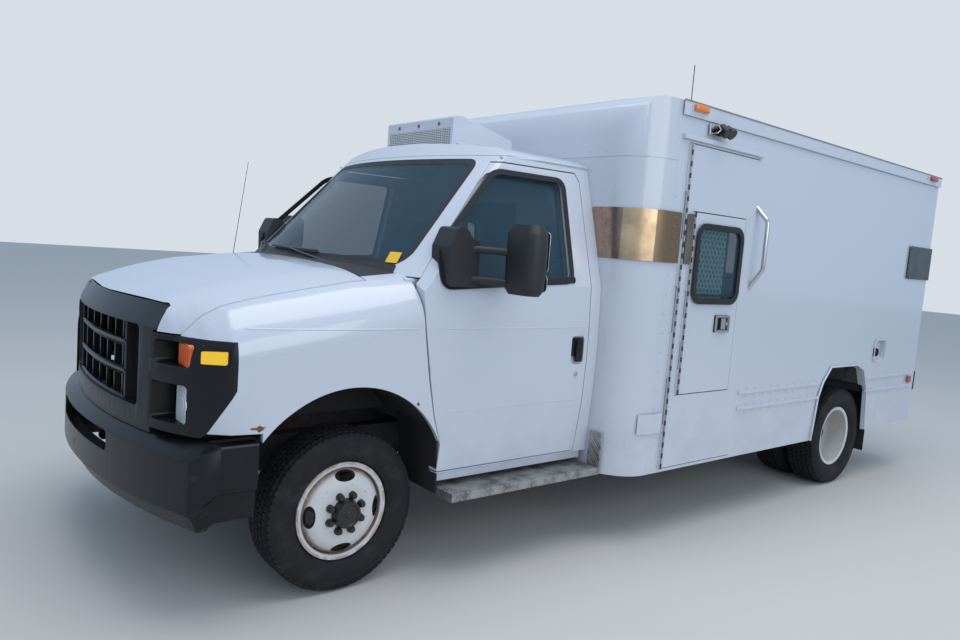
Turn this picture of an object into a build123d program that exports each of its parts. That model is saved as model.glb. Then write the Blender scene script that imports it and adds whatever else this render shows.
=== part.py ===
# An ambulance: a cutaway van cab with a walled patient box behind it, on a ladder frame with
# twin rear wheels. Its frame has +X forward, +Y to the left and +Z up, with z = 0 on the ground.
import os
from math import cos, degrees, pi, radians, sin, sqrt

from build123d import *

os.makedirs("parts", exist_ok=True)

# Driving dimensions of the vehicle. Every length in this file is in millimetres.
WHEELBASE = 4013
FRONT_OVERHANG = 880
REAR_OVERHANG = 1305
FRONT_X = (FRONT_OVERHANG + WHEELBASE + REAR_OVERHANG) / 2 - FRONT_OVERHANG
REAR_X = FRONT_X - WHEELBASE
TAIL_X = REAR_X - REAR_OVERHANG
NOSE_X = FRONT_X + FRONT_OVERHANG
GAP = 6
SEAT = 0.3

# Long hinges: the pin line stands off a door's outer face and front edge
KNUCKLE_RADIUS = 3.9
KNUCKLE_COUNT = 7
PIN_OFFSET = 3
LEAF = 14

# Wheels and tyres
TYRE_RADIUS = 362
TYRE_HALF = 111.5
RIM_RADIUS = 203
RIM_HALF = 76
FLANGE_RADIUS = 220
AXLE_Z = TYRE_RADIUS
FRONT_WHEEL_Y = 802
REAR_OUTER_Y = 1086
REAR_INNER_Y = 818
STUD_CIRCLE = 82.5
STUD_COUNT = 8
KING_PIN_Y = 775

# Ladder frame
RAIL_HALF = 434
RAIL_DEPTH = 165
RAIL_FLANGE = 70
RAIL_WALL = 8
RAIL_TOP = 670
RAIL_DROP = 60

# Cab
CAB_BACK = FRONT_X - 1450
SILL_Z = 500
SILL_HALF = 985
CREASE_LOW_Z = 782
CREASE_LOW_HALF = 999
CAB_HALF = 1007
CREASE_Z = 1185
BELT_Z = 1400
PILLAR_FOOT = 1408
BELT_HALF = 995
DRIP_Z = 2040
DRIP_HALF = 815
ROOF_Z = 2112
DOOR_THICK = 60
PILLAR_WALL = 55
ROOF_WALL = 30
SCREEN_Z = 1430
SCREEN_CENTRE_X = FRONT_X - 100
SCREEN_BULGE = 318
SCREEN_REACH = 1100
SCREEN_RAKE = 0.56 / 0.58
GLASS = 6

# Nose
NOSE_WALL = 24
HOOD_BACK = FRONT_X - 60
GRILLE_HALF = 620
GRILLE_TOP = 1245
LAMP_TOP = 1135
NOSE_LOW = 778
BEZEL_BACK = FRONT_X + 535
ARCH_X = FRONT_X + 30
ARCH_Z = 440
ARCH_RADIUS = 500

# Patient box
BOX_FRONT = FRONT_X - 1450 - SEAT
BOX_BACK = FRONT_X - 5220
BOX_HALF = 1225
BOX_LOW = 392
BOX_TOP = 2417
BOX_CROWN = 2446
BOX_WALL = 45
SKIRT = 16
CORNER = 225
CAP_BACK = BOX_FRONT - CORNER - 15
FLOOR_TOP = 790
FLOOR_THICK = 50
WELL_X0 = REAR_X + 500
WELL_X1 = REAR_X - 350
WELL_TOP = 907


def side_plane(y):
    """The upright plane along the vehicle at y, whose own axes are X and Z."""
    return Plane(origin=(0, y, 0), x_dir=(1, 0, 0), z_dir=(0, -1, 0))


def outline(points, plane, radius=0):
    """A face inside a closed outline of straight lines, with its corners rounded."""
    with BuildSketch(plane, mode=Mode.PRIVATE) as face:
        with BuildLine():
            Polyline(*points, close=True)
        make_face()
        if radius:
            fillet(face.vertices(), radius)
    return face.sketch


def side_prism(points, y0, y1, mode=Mode.ADD, radius=0):
    """An (x, z) outline carried across from y0 to y1."""
    extrude(outline(points, side_plane(y0), radius), amount=y0 - y1, mode=mode)


def front_prism(points, x0, x1, mode=Mode.ADD, radius=0):
    """A (y, z) outline carried along from x0 to x1."""
    extrude(outline(points, Plane.YZ.offset(x0), radius), amount=x1 - x0, mode=mode)


def corners(u0, u1, v0, v1):
    """The corners of a rectangle, in turn."""
    return [(u0, v0), (u1, v0), (u1, v1), (u0, v1)]


def plan_prism(points, z0, z1, mode=Mode.ADD):
    """An (x, y) outline carried up from z0 to z1."""
    extrude(outline(points, Plane.XY.offset(z0)), amount=z1 - z0, mode=mode)


def block(x0, x1, y0, y1, z0, z1, mode=Mode.ADD):
    """A block between two opposite corners."""
    with Locations(((x0 + x1) / 2, (y0 + y1) / 2, (z0 + z1) / 2)):
        Box(abs(x1 - x0), abs(y1 - y0), abs(z1 - z0), mode=mode)


def rod_y(x, z, radius, y0, y1, mode=Mode.ADD):
    """A round bar across the vehicle from y0 to y1."""
    with Locations(Location((x, (y0 + y1) / 2, z), (90, 0, 0))):
        Cylinder(radius, abs(y1 - y0), mode=mode)


def rod_x(y, z, radius, x0, x1, mode=Mode.ADD):
    """A round bar along the vehicle from x0 to x1."""
    with Locations(Location(((x0 + x1) / 2, y, z), (0, 90, 0))):
        Cylinder(radius, abs(x1 - x0), mode=mode)


def turned(points, x, side, mode=Mode.ADD):
    """A ring round the axle at x, from an outline of (y, radius) on one side of the vehicle."""
    section = outline([(side * y, AXLE_Z + radius) for y, radius in points], Plane.YZ.offset(x))
    revolve(section, axis=Axis((x, 0, AXLE_Z), (0, 1, 0)), revolution_arc=360, mode=mode)


def swung_plane(x_axis, degrees):
    """An upright plane swung about the upright line at x_axis; its own axes are distance and height."""
    angle = radians(degrees)
    along = (cos(angle), sin(angle), 0)
    return Plane(origin=(x_axis, 0, 0), x_dir=along, z_dir=(sin(angle), -cos(angle), 0))


def bowed(points, x_axis, half_degrees, mode=Mode.ADD):
    """A (radius, z) outline swung about the upright line at x_axis, as far to the left as to the right."""
    section = outline(points, swung_plane(x_axis, -half_degrees))
    revolve(section, axis=Axis((x_axis, 0, 0), (0, 0, 1)), revolution_arc=2 * half_degrees, mode=mode)


def hinge_spans(z0, z1, moving):
    """The heights of a long hinge's knuckles: the fixed ones or, between them, the moving ones."""
    pitch = (z1 - z0) / KNUCKLE_COUNT
    first = 1 if moving else 0
    return [
        (z0 + k * pitch + SEAT / 2, z0 + (k + 1) * pitch - SEAT / 2)
        for k in range(first, KNUCKLE_COUNT, 2)
    ]


def knuckles(x, y, z0, z1, moving, leaf_x, leaf_y):
    """Knuckles on a pin line at (x, y), each with a leaf from the pin line to (leaf_x, leaf_y)."""
    for low, high in hinge_spans(z0, z1, moving):
        with Locations((x, y, (low + high) / 2)):
            Cylinder(KNUCKLE_RADIUS, high - low)
        block(x, leaf_x, y, leaf_y, low, high)


def finish(builder, name):
    builder.part.label = name
    export_step(builder.part, f"parts/{name}.step")


# Ladder frame, power unit and axles
RAIL_KINK = CAB_BACK + 300
RAIL_FRONT = NOSE_X - 190
RAIL_BACK = BOX_BACK + 60
rail_side = [
    (RAIL_BACK, RAIL_TOP - RAIL_DEPTH),
    (RAIL_KINK, RAIL_TOP - RAIL_DEPTH),
    (RAIL_KINK + 350, RAIL_TOP - RAIL_DEPTH - RAIL_DROP),
    (RAIL_FRONT, RAIL_TOP - RAIL_DEPTH - RAIL_DROP),
    (RAIL_FRONT, RAIL_TOP - RAIL_DROP),
    (RAIL_KINK + 350, RAIL_TOP - RAIL_DROP),
    (RAIL_KINK, RAIL_TOP),
    (RAIL_BACK, RAIL_TOP),
]
rail_hollow = [
    (x, z + (RAIL_WALL if k < 4 else -RAIL_WALL)) for k, (x, z) in enumerate(rail_side)
]
rail_hollow[0] = (RAIL_BACK - 1, rail_hollow[0][1])
rail_hollow[7] = (RAIL_BACK - 1, rail_hollow[7][1])
rail_hollow[3] = (RAIL_FRONT + 1, rail_hollow[3][1])
rail_hollow[4] = (RAIL_FRONT + 1, rail_hollow[4][1])

GEARBOX_Z = 680
GEARBOX_RADIUS = 110

# Crossmembers by (x of the middle, z of the top, depth)
CROSSMEMBERS = (
    (RAIL_BACK + 120, RAIL_TOP - 20, 110),
    (REAR_X + 640, RAIL_TOP - 20, 110),
    (REAR_X + 1650, RAIL_TOP - 20, 60),
    (CAB_BACK + 200, GEARBOX_Z - GEARBOX_RADIUS - SEAT, 60),
    (FRONT_X, RAIL_TOP - RAIL_DROP - 90, 60),
    (RAIL_FRONT - 60, RAIL_TOP - RAIL_DROP - 20, 110),
)
with BuildPart() as frame:
    for side in (1, -1):
        side_prism(rail_side, side * RAIL_HALF, side * (RAIL_HALF - RAIL_FLANGE))
        side_prism(rail_hollow, side * (RAIL_HALF - RAIL_WALL), side * (RAIL_HALF - RAIL_FLANGE - 1),
                   mode=Mode.SUBTRACT)
    for x, top, depth in CROSSMEMBERS:
        block(x - 40, x + 40, -RAIL_HALF + RAIL_WALL, RAIL_HALF - RAIL_WALL, top - depth, top)
finish(frame, "frame")

ENGINE_HALF = 270
ENGINE_BACK = FRONT_X - 700
GEARBOX_BACK = CAB_BACK + 10
with BuildPart() as engine:
    block(ENGINE_BACK, FRONT_X + 420, -ENGINE_HALF, ENGINE_HALF, 560, 1040)
    rod_x(0, GEARBOX_Z, GEARBOX_RADIUS, GEARBOX_BACK, ENGINE_BACK)
finish(engine, "engine")

BEAM_X = 45
BEAM_HALF_THICK = 28
BEAM_PIVOT_Y = 210
EYE_HALF = 48
EYE_RADIUS = 34
with BuildPart() as front_axle:
    for side in (1, -1):
        x = FRONT_X + side * BEAM_X
        front_prism(
            [
                (-side * BEAM_PIVOT_Y, 375),
                (side * 560, AXLE_Z - 40),
                (side * KING_PIN_Y, AXLE_Z - 40),
                (side * KING_PIN_Y, AXLE_Z + 40),
                (side * 560, AXLE_Z + 28),
                (-side * BEAM_PIVOT_Y, 445),
            ],
            x - BEAM_HALF_THICK, x + BEAM_HALF_THICK,
        )
        block(x - BEAM_HALF_THICK, x + BEAM_HALF_THICK, -side * (BEAM_PIVOT_Y + 40),
              -side * (BEAM_PIVOT_Y - 40), 375, RAIL_TOP - RAIL_DROP - 150)
        block(FRONT_X - 20, FRONT_X + 20, side * (KING_PIN_Y - 40), side * KING_PIN_Y,
              AXLE_Z - 30, AXLE_Z + 30)
        with Locations((FRONT_X, side * KING_PIN_Y, AXLE_Z)):
            Cylinder(EYE_RADIUS, 2 * EYE_HALF)
        # Coil spring, drawn as the stack of its turns between the beam and the rail
        for k in range(5):
            with Locations((FRONT_X + side * BEAM_X, side * 520, 372 + 32 * k)):
                Cylinder(62, 16)
        with Locations((FRONT_X + side * BEAM_X, side * 520, 430)):
            Cylinder(36, 180)
        block(FRONT_X - 60, FRONT_X + 80, side * RAIL_HALF, side * 590, 508, 522)
        # Radius arm, back to the rail
        side_prism(
            [
                (FRONT_X - 20, 300), (FRONT_X - 900, 430), (FRONT_X - 900, 490), (FRONT_X - 20, 360),
            ],
            side * 470, side * 510,
        )
        block(FRONT_X - 930, FRONT_X - 860, side * (RAIL_HALF + SEAT), side * 520, 420, 520)
finish(front_axle, "front_axle")

SPRING_Y = 545
AXLE_RADIUS = 46
HUB_START = REAR_INNER_Y - 58
AXLE_END = HUB_START - SEAT
with BuildPart() as rear_axle:
    rod_y(REAR_X, AXLE_Z, AXLE_RADIUS, -AXLE_END, AXLE_END)
    with Locations((REAR_X, 0, AXLE_Z)):
        Sphere(150)
    rod_x(0, AXLE_Z + 10, 60, REAR_X, REAR_X + 230)
    for side in (1, -1):
        with BuildSketch(side_plane(side * (SPRING_Y - 38)), mode=Mode.PRIVATE) as leaf_pack:
            with BuildLine():
                ThreePointArc((REAR_X - 640, 560), (REAR_X, 430), (REAR_X + 640, 560))
                Line((REAR_X + 640, 560), (REAR_X + 640, 545))
                ThreePointArc((REAR_X + 640, 545), (REAR_X, 395), (REAR_X - 640, 545))
                Line((REAR_X - 640, 545), (REAR_X - 640, 560))
            make_face()
        extrude(leaf_pack.sketch, amount=-side * 76)
        for end in (-1, 1):
            block(REAR_X + end * 640 - 20, REAR_X + end * 640 + 20, side * RAIL_HALF + side * SEAT,
                  side * (SPRING_Y + 38), 535, 600)
finish(rear_axle, "rear_axle")

SHAFT_BACK = REAR_X + 230 + SEAT
SHAFT_FRONT = GEARBOX_BACK - SEAT
SHAFT_BACK_Z = AXLE_Z + 10
SHAFT_FRONT_Z = 620
with BuildPart() as propeller_shaft:
    rod_x(0, SHAFT_BACK_Z, 52, SHAFT_BACK, SHAFT_BACK + 40)
    rod_x(0, SHAFT_FRONT_Z, 48, SHAFT_FRONT - 40, SHAFT_FRONT)
    shaft_line = Edge.make_line((SHAFT_BACK + 20, 0, SHAFT_BACK_Z), (SHAFT_FRONT - 20, 0, SHAFT_FRONT_Z))
    with BuildSketch(Plane(origin=shaft_line @ 0, z_dir=shaft_line % 0)):
        Circle(40)
    extrude(amount=shaft_line.length)
finish(propeller_shaft, "propeller_shaft")

TANK_HALF = RAIL_HALF - RAIL_FLANGE - SEAT
with BuildPart() as fuel_tank:
    block(REAR_X - 930, REAR_X - 330, -TANK_HALF, TANK_HALF, 430, 640)
    fillet(fuel_tank.edges().filter_by(Axis.Y), radius=50)
finish(fuel_tank, "fuel_tank")

with BuildPart() as exhaust:
    rod_x(-510, 470, 75, FRONT_X - 2300, FRONT_X - 1750)
    rod_x(-510, 470, 28, REAR_X + 800, FRONT_X - 1000)
    block(FRONT_X - 2040, FRONT_X - 2010, -RAIL_HALF - SEAT, -480, 470, 600)
finish(exhaust, "exhaust")

# Steering knuckles
SPINDLE_RADIUS = 26
for side, word in ((1, "left"), (-1, "right")):
    with BuildPart() as knuckle:
        for up in (1, -1):
            with Locations((FRONT_X, side * KING_PIN_Y, AXLE_Z + up * (EYE_HALF + SEAT + 12))):
                Cylinder(EYE_RADIUS, 24)
            block(FRONT_X - 30, FRONT_X + 30, side * KING_PIN_Y, side * (KING_PIN_Y + 60),
                  AXLE_Z + up * (EYE_HALF + SEAT), AXLE_Z + up * (EYE_HALF + SEAT + 24))
        block(FRONT_X - 30, FRONT_X + 30, side * (KING_PIN_Y + 42), side * (KING_PIN_Y + 60),
              AXLE_Z - EYE_HALF - 20, AXLE_Z + EYE_HALF + 20)
        rod_y(FRONT_X, AXLE_Z, SPINDLE_RADIUS, side * (KING_PIN_Y + 50), side * (KING_PIN_Y + 135))
        block(FRONT_X - 150, FRONT_X, side * (KING_PIN_Y - 15), side * (KING_PIN_Y + 15),
              AXLE_Z - EYE_HALF - SEAT - 24, AXLE_Z - EYE_HALF - SEAT)
    finish(knuckle, f"knuckle_{word}")

# Wheels. A tyre section runs from the bead on the rim out to the shoulder, as (half width, radius)
TYRE_SECTION = (
    (RIM_HALF - 0.5, RIM_RADIUS + SEAT),
    (RIM_HALF - 0.5, 226),
    (96, 240),
    (TYRE_HALF, 285),
    (104, 330),
    (88, 356),
    (70, TYRE_RADIUS),
)


def add_tyre(x, y, side):
    outer = [(y + half, radius) for half, radius in TYRE_SECTION]
    inner = [(y - half, radius) for half, radius in reversed(TYRE_SECTION)]
    turned(outer + inner, x, side)


def add_barrel(x, y, side):
    """The rolled rim: a well between two flanges."""
    turned(
        [
            (y - RIM_HALF - 10, FLANGE_RADIUS), (y - RIM_HALF, FLANGE_RADIUS),
            (y - RIM_HALF, RIM_RADIUS), (y + RIM_HALF, RIM_RADIUS),
            (y + RIM_HALF, FLANGE_RADIUS), (y + RIM_HALF + 10, FLANGE_RADIUS),
            (y + RIM_HALF + 10, FLANGE_RADIUS - 6), (y + RIM_HALF + 6, RIM_RADIUS - 6),
            (y - RIM_HALF - 6, RIM_RADIUS - 6), (y - RIM_HALF - 10, FLANGE_RADIUS - 6),
        ],
        x, side,
    )


def add_dish(x, y_rim, y_face, side):
    """The pressed centre, curved from the rim at y_rim to the stud face at y_face, with hand holes."""
    y_bend = y_rim + 0.66 * (y_face - y_rim)
    rim, bend, flat, bore = RIM_RADIUS - 4, 176, 120, 60
    with BuildSketch(Plane.YZ.offset(x), mode=Mode.PRIVATE) as section:
        with BuildLine():
            for half in (-DISH_HALF_THICK, DISH_HALF_THICK):
                ThreePointArc(
                    (side * (y_rim + half), AXLE_Z + rim),
                    (side * (y_bend + half), AXLE_Z + bend),
                    (side * (y_face + half), AXLE_Z + flat),
                )
                Line((side * (y_face + half), AXLE_Z + flat), (side * (y_face + half), AXLE_Z + bore))
            for y, radius in ((y_rim, rim), (y_face, bore)):
                Line((side * (y - DISH_HALF_THICK), AXLE_Z + radius),
                     (side * (y + DISH_HALF_THICK), AXLE_Z + radius))
        make_face()
    revolve(section.sketch, axis=Axis((x, 0, AXLE_Z), (0, 1, 0)), revolution_arc=360)
    for k in range(HAND_HOLES):
        angle = 2 * pi * k / HAND_HOLES
        middle = (x + HAND_HOLE_REACH * cos(angle), side * (y_rim - 100), AXLE_Z + HAND_HOLE_REACH * sin(angle))
        hole = Plane(origin=middle, x_dir=(-sin(angle), 0, cos(angle)), z_dir=(0, side, 0))
        with BuildSketch(hole, mode=Mode.PRIVATE) as opening:
            SlotOverall(HAND_HOLE_LENGTH, HAND_HOLE_WIDTH)
        extrude(opening.sketch, amount=200, mode=Mode.SUBTRACT)


DISH_HALF_THICK = 5
HAND_HOLES = 4
HAND_HOLE_REACH = 160
HAND_HOLE_LENGTH = 66
HAND_HOLE_WIDTH = 34
FRONT_FACE_Y = FRONT_WHEEL_Y + 104
REAR_FACE_Y = (REAR_OUTER_Y + REAR_INNER_Y) / 2
for side, word in ((1, "left"), (-1, "right")):
    with BuildPart() as tyre:
        add_tyre(FRONT_X, FRONT_WHEEL_Y, side)
    finish(tyre, f"tyre_front_{word}")

    with BuildPart() as rim:
        add_barrel(FRONT_X, FRONT_WHEEL_Y, side)
        add_dish(FRONT_X, FRONT_WHEEL_Y + 40, FRONT_FACE_Y, side)
        turned(
            [
                (KING_PIN_Y + 64, SPINDLE_RADIUS + SEAT), (KING_PIN_Y + 64, 70),
                (FRONT_FACE_Y - 5, 70), (FRONT_FACE_Y - 5, 62), (FRONT_FACE_Y + 40, 55),
                (FRONT_FACE_Y + 40, 0), (KING_PIN_Y + 140, 0), (KING_PIN_Y + 140, SPINDLE_RADIUS + SEAT),
            ],
            FRONT_X, side,
        )
        for k in range(STUD_COUNT):
            angle = 2 * pi * (k + 0.5) / STUD_COUNT
            rod_y(FRONT_X + STUD_CIRCLE * cos(angle), AXLE_Z + STUD_CIRCLE * sin(angle), 11,
                  side * FRONT_FACE_Y, side * (FRONT_FACE_Y + 28))
    finish(rim, f"rim_front_{word}")

    with BuildPart() as tyres:
        add_tyre(REAR_X, REAR_OUTER_Y, side)
        add_tyre(REAR_X, REAR_INNER_Y, side)
    finish(tyres, f"tyres_rear_{word}")

    with BuildPart() as rims:
        for y, lean in ((REAR_OUTER_Y, -1), (REAR_INNER_Y, 1)):
            add_barrel(REAR_X, y, side)
            add_dish(REAR_X, y + lean * 40, REAR_FACE_Y - lean * 5, side)
        turned(
            [
                (HUB_START, 90), (REAR_FACE_Y - 10, 90),
                (REAR_FACE_Y - 10, 62), (REAR_FACE_Y + 90, 56), (REAR_FACE_Y + 90, 0),
                (HUB_START, 0),
            ],
            REAR_X, side,
        )
        for k in range(STUD_COUNT):
            angle = 2 * pi * (k + 0.5) / STUD_COUNT
            rod_y(REAR_X + STUD_CIRCLE * cos(angle), AXLE_Z + STUD_CIRCLE * sin(angle), 11,
                  side * REAR_FACE_Y, side * (REAR_FACE_Y + 34))
    finish(rims, f"rims_rear_{word}")


# Cab forms
def cab_section(inset, plane):
    """The cab's cross section behind the nose, drawn in by a wall's thickness."""
    side_points = [
        (SILL_HALF - inset, SILL_Z),
        (CREASE_LOW_HALF - inset, CREASE_LOW_Z),
        (CAB_HALF - inset, 1000),
        (CAB_HALF - 3 - inset, CREASE_Z),
        (BELT_HALF - inset, BELT_Z),
        (DRIP_HALF - inset, DRIP_Z),
        (DRIP_HALF - 60 - inset, DRIP_Z + 32 - inset),
    ]
    with BuildSketch(plane, mode=Mode.PRIVATE) as section:
        with BuildLine():
            Polyline(*side_points)
            ThreePointArc(side_points[-1], (0, ROOF_Z - inset), (-side_points[-1][0], side_points[-1][1]))
            Polyline(*[(-y, z) for y, z in side_points])
            Line(side_points[0], (-side_points[0][0], side_points[0][1]))
        make_face()
    return section.sketch


def raked_space(setback, z0, z1, x_back):
    """The space behind the bowed, raked line of the windscreen, set back by a glass or wall."""
    drop = SCREEN_RAKE * (z0 - SCREEN_Z)
    x_mid = SCREEN_CENTRE_X - setback - drop
    with BuildSketch(Plane.XY.offset(z0), mode=Mode.PRIVATE) as foot:
        with BuildLine():
            ThreePointArc((x_mid - SCREEN_BULGE, -SCREEN_REACH), (x_mid, 0),
                          (x_mid - SCREEN_BULGE, SCREEN_REACH))
            Polyline((x_mid - SCREEN_BULGE, SCREEN_REACH), (x_back, SCREEN_REACH),
                     (x_back, -SCREEN_REACH), (x_mid - SCREEN_BULGE, -SCREEN_REACH))
        make_face()
    rise = z1 - z0
    return extrude(foot.sketch, amount=rise * sqrt(1 + SCREEN_RAKE ** 2), dir=(-SCREEN_RAKE, 0, 1),
                   mode=Mode.PRIVATE)


def cab_form(inset, setback):
    """The cab above the belt: its cross section behind the windscreen's surface."""
    with BuildPart(mode=Mode.PRIVATE) as form:
        extrude(cab_section(inset, Plane.YZ.offset(CAB_BACK - (1 if inset else 0))), amount=1500)
        add(raked_space(setback, BELT_Z - 60, ROOF_Z + 30, CAB_BACK - 1200), mode=Mode.INTERSECT)
    return form.part


def lower_form(inset):
    """The cab below the belt, behind the door's front shut line."""
    with BuildPart(mode=Mode.PRIVATE) as form:
        extrude(cab_section(inset, Plane.YZ.offset(CAB_BACK - (1 if inset else 0))), amount=1500)
        block(CAB_BACK - 10, FRONT_X, -2000, 2000, 0, BELT_Z - 60, mode=Mode.INTERSECT)
    return form.part


# Door outline, up the front edge and down the back one, as (setback from the axle, z)
DOOR_EDGE = (
    (430, 512), (436, 640), (385, 790), (347, 953), (308, 1169), (276, 1400), (290, 1470),
    (350, 1563), (620, 1880), (700, 1968), (748, 1988),
    (1335, 1996), (1366, 1950), (1368, 1112), (1366, 761), (1345, 512),
)
WINDOW_EDGE = (
    (385, 1372), (378, 1555), (752, 1938), (1237, 1950), (1225, 1422),
)
WINDOW_RADIUS = 48
GLASS_INSET = 25
SCREEN_RADIUS = 70


def setback_points(table, grow=0, mid_z=1260):
    """Turn (setback, z) rows into (x, z), grown outwards from a middle height."""
    mid_x = 870
    return [
        (FRONT_X - s - (grow if s > mid_x else -grow), z + (grow if z > mid_z else -grow)) for s, z in table
    ]


DOOR_BACK_X = FRONT_X - 1368
SCREEN_OUTLINE = ((815, 1447), (700, 2008))
screen_points = [(y, z) for y, z in SCREEN_OUTLINE] + [(-y, z) for y, z in reversed(SCREEN_OUTLINE)]

with BuildPart() as cab_sides:
    add(cab_form(0, 0))
    add(lower_form(0))
    add(cab_form(PILLAR_WALL, PILLAR_WALL), mode=Mode.SUBTRACT)
    add(lower_form(PILLAR_WALL), mode=Mode.SUBTRACT)
    block(CAB_BACK - 10, FRONT_X + 500, -2000, 2000, DRIP_Z - 12, 3000, mode=Mode.SUBTRACT)
    block(FRONT_X - 436 + GAP, FRONT_X + 500, -2000, 2000, 0, PILLAR_FOOT, mode=Mode.SUBTRACT)
    for side in (1, -1):
        with BuildPart(mode=Mode.PRIVATE) as doorway:
            side_prism(setback_points(DOOR_EDGE, GAP), side * 600, side * 1200)
            add(cab_form(DOOR_THICK + GAP, 0), mode=Mode.SUBTRACT)
        add(doorway.part, mode=Mode.SUBTRACT)
        block(DOOR_BACK_X - GAP - 2, DOOR_BACK_X - SEAT, side * (CAB_HALF - 22), side * (CAB_HALF - 7),
              1040, 1090)
    front_prism(screen_points, FRONT_X - 900, FRONT_X + 200, mode=Mode.SUBTRACT, radius=SCREEN_RADIUS)
    block(CAB_BACK - 10, FRONT_X - 280, -SILL_HALF + 400, SILL_HALF - 400, SILL_Z - 5, BELT_Z,
          mode=Mode.SUBTRACT)
finish(cab_sides, "cab_sides")

with BuildPart() as cab_roof:
    add(cab_form(0, 0))
    add(cab_form(ROOF_WALL, ROOF_WALL), mode=Mode.SUBTRACT)
    block(CAB_BACK - 10, FRONT_X + 500, -2000, 2000, 0, DRIP_Z - 12 + SEAT, mode=Mode.SUBTRACT)
finish(cab_roof, "cab_roof")

with BuildPart() as windscreen:
    add(raked_space(4, SCREEN_OUTLINE[0][1] - 10, SCREEN_OUTLINE[1][1] + 10, FRONT_X - 1400))
    add(raked_space(4 + GLASS * 1.4, SCREEN_OUTLINE[0][1] - 20, SCREEN_OUTLINE[1][1] + 20, FRONT_X - 1450),
        mode=Mode.SUBTRACT)
    with BuildPart(mode=Mode.PRIVATE) as pane:
        front_prism([(y - SEAT * (1 if y > 0 else -1), z + (SEAT if z < 1700 else -SEAT))
                     for y, z in screen_points], FRONT_X - 900, FRONT_X + 200, radius=SCREEN_RADIUS - SEAT)
    add(pane.part, mode=Mode.INTERSECT)
finish(windscreen, "windscreen")

# Mirror: its sail on the door as (setback, z), its arms' heights, and its head as (z, length, width)
SAIL = ((382, 1380), (376, 1560), (420, 1655), (470, 1640), (500, 1600), (545, 1590), (545, 1380))
MIRROR_ARMS = (1418, 1556)
MIRROR_X = FRONT_X - 678
MIRROR_Y = 1212
MIRROR_HEAD = ((1364, 84, 160), (1392, 112, 202), (1560, 116, 210), (1640, 112, 200), (1680, 84, 150))
HANDLE_X0 = FRONT_X - 1247
HANDLE_X1 = FRONT_X - 1341
HANDLE_Z0 = 990
HANDLE_Z1 = 1138
HANDLE_Y = CAB_HALF - 16
for side, word in ((1, "left"), (-1, "right")):
    with BuildPart() as door:
        add(cab_form(0, 0))
        add(lower_form(0))
        with BuildPart(mode=Mode.PRIVATE) as shut:
            side_prism(setback_points(DOOR_EDGE), side * 745, side * 1200)
        add(shut.part, mode=Mode.INTERSECT)
        add(cab_form(DOOR_THICK, 0), mode=Mode.SUBTRACT)
        add(lower_form(DOOR_THICK), mode=Mode.SUBTRACT)
        side_prism(setback_points(WINDOW_EDGE), side * 600, side * 1200, mode=Mode.SUBTRACT,
                   radius=WINDOW_RADIUS)
        side_prism(corners(HANDLE_X0, HANDLE_X1, HANDLE_Z0, HANDLE_Z1), side * HANDLE_Y, side * 1200,
                   mode=Mode.SUBTRACT, radius=20)
    finish(door, f"door_{word}")

    with BuildPart() as handle:
        side_prism(corners(HANDLE_X0 - 8, HANDLE_X1 + 8, HANDLE_Z0 + 40, HANDLE_Z1 - 8),
                   side * (HANDLE_Y + SEAT), side * (CAB_HALF - 3), radius=14)
        side_prism(corners(HANDLE_X0 - 30, HANDLE_X1 + 18, HANDLE_Z0 + 12, HANDLE_Z1 - 20),
                   side * (CAB_HALF - 4), side * (CAB_HALF + 9), radius=8)
    finish(handle, f"door_handle_{word}")

    with BuildPart() as door_glass:
        add(cab_form(GLASS_INSET, 0))
        add(cab_form(GLASS_INSET + GLASS, 0), mode=Mode.SUBTRACT)
        with BuildPart(mode=Mode.PRIVATE) as pane:
            side_prism(setback_points(WINDOW_EDGE, -SEAT, 1700), side * 650, side * 1200,
                       radius=WINDOW_RADIUS - SEAT)
        add(pane.part, mode=Mode.INTERSECT)
    finish(door_glass, f"door_glass_{word}")

    with BuildPart() as mirror:
        side_prism([(FRONT_X - s, z) for s, z in SAIL], side * 900, side * 1042, radius=28)
        add(cab_form(-SEAT, -SEAT), mode=Mode.SUBTRACT)
        add(lower_form(-SEAT), mode=Mode.SUBTRACT)
        for z in MIRROR_ARMS:
            arm = Edge.make_line((FRONT_X - 480, side * 1000, z), (MIRROR_X, side * (MIRROR_Y - 40), z - 6))
            with BuildSketch(Plane(origin=arm @ 0, z_dir=arm % 0)):
                Circle(17)
            extrude(amount=arm.length)
        heads = []
        for z, along, across in MIRROR_HEAD:
            with BuildSketch(Plane.XY.offset(z), mode=Mode.PRIVATE) as head:
                with Locations((MIRROR_X, side * MIRROR_Y)):
                    RectangleRounded(along, across, 0.42 * along)
            heads.append(head.sketch)
        loft(heads, ruled=True)
    finish(mirror, f"mirror_{word}")

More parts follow.
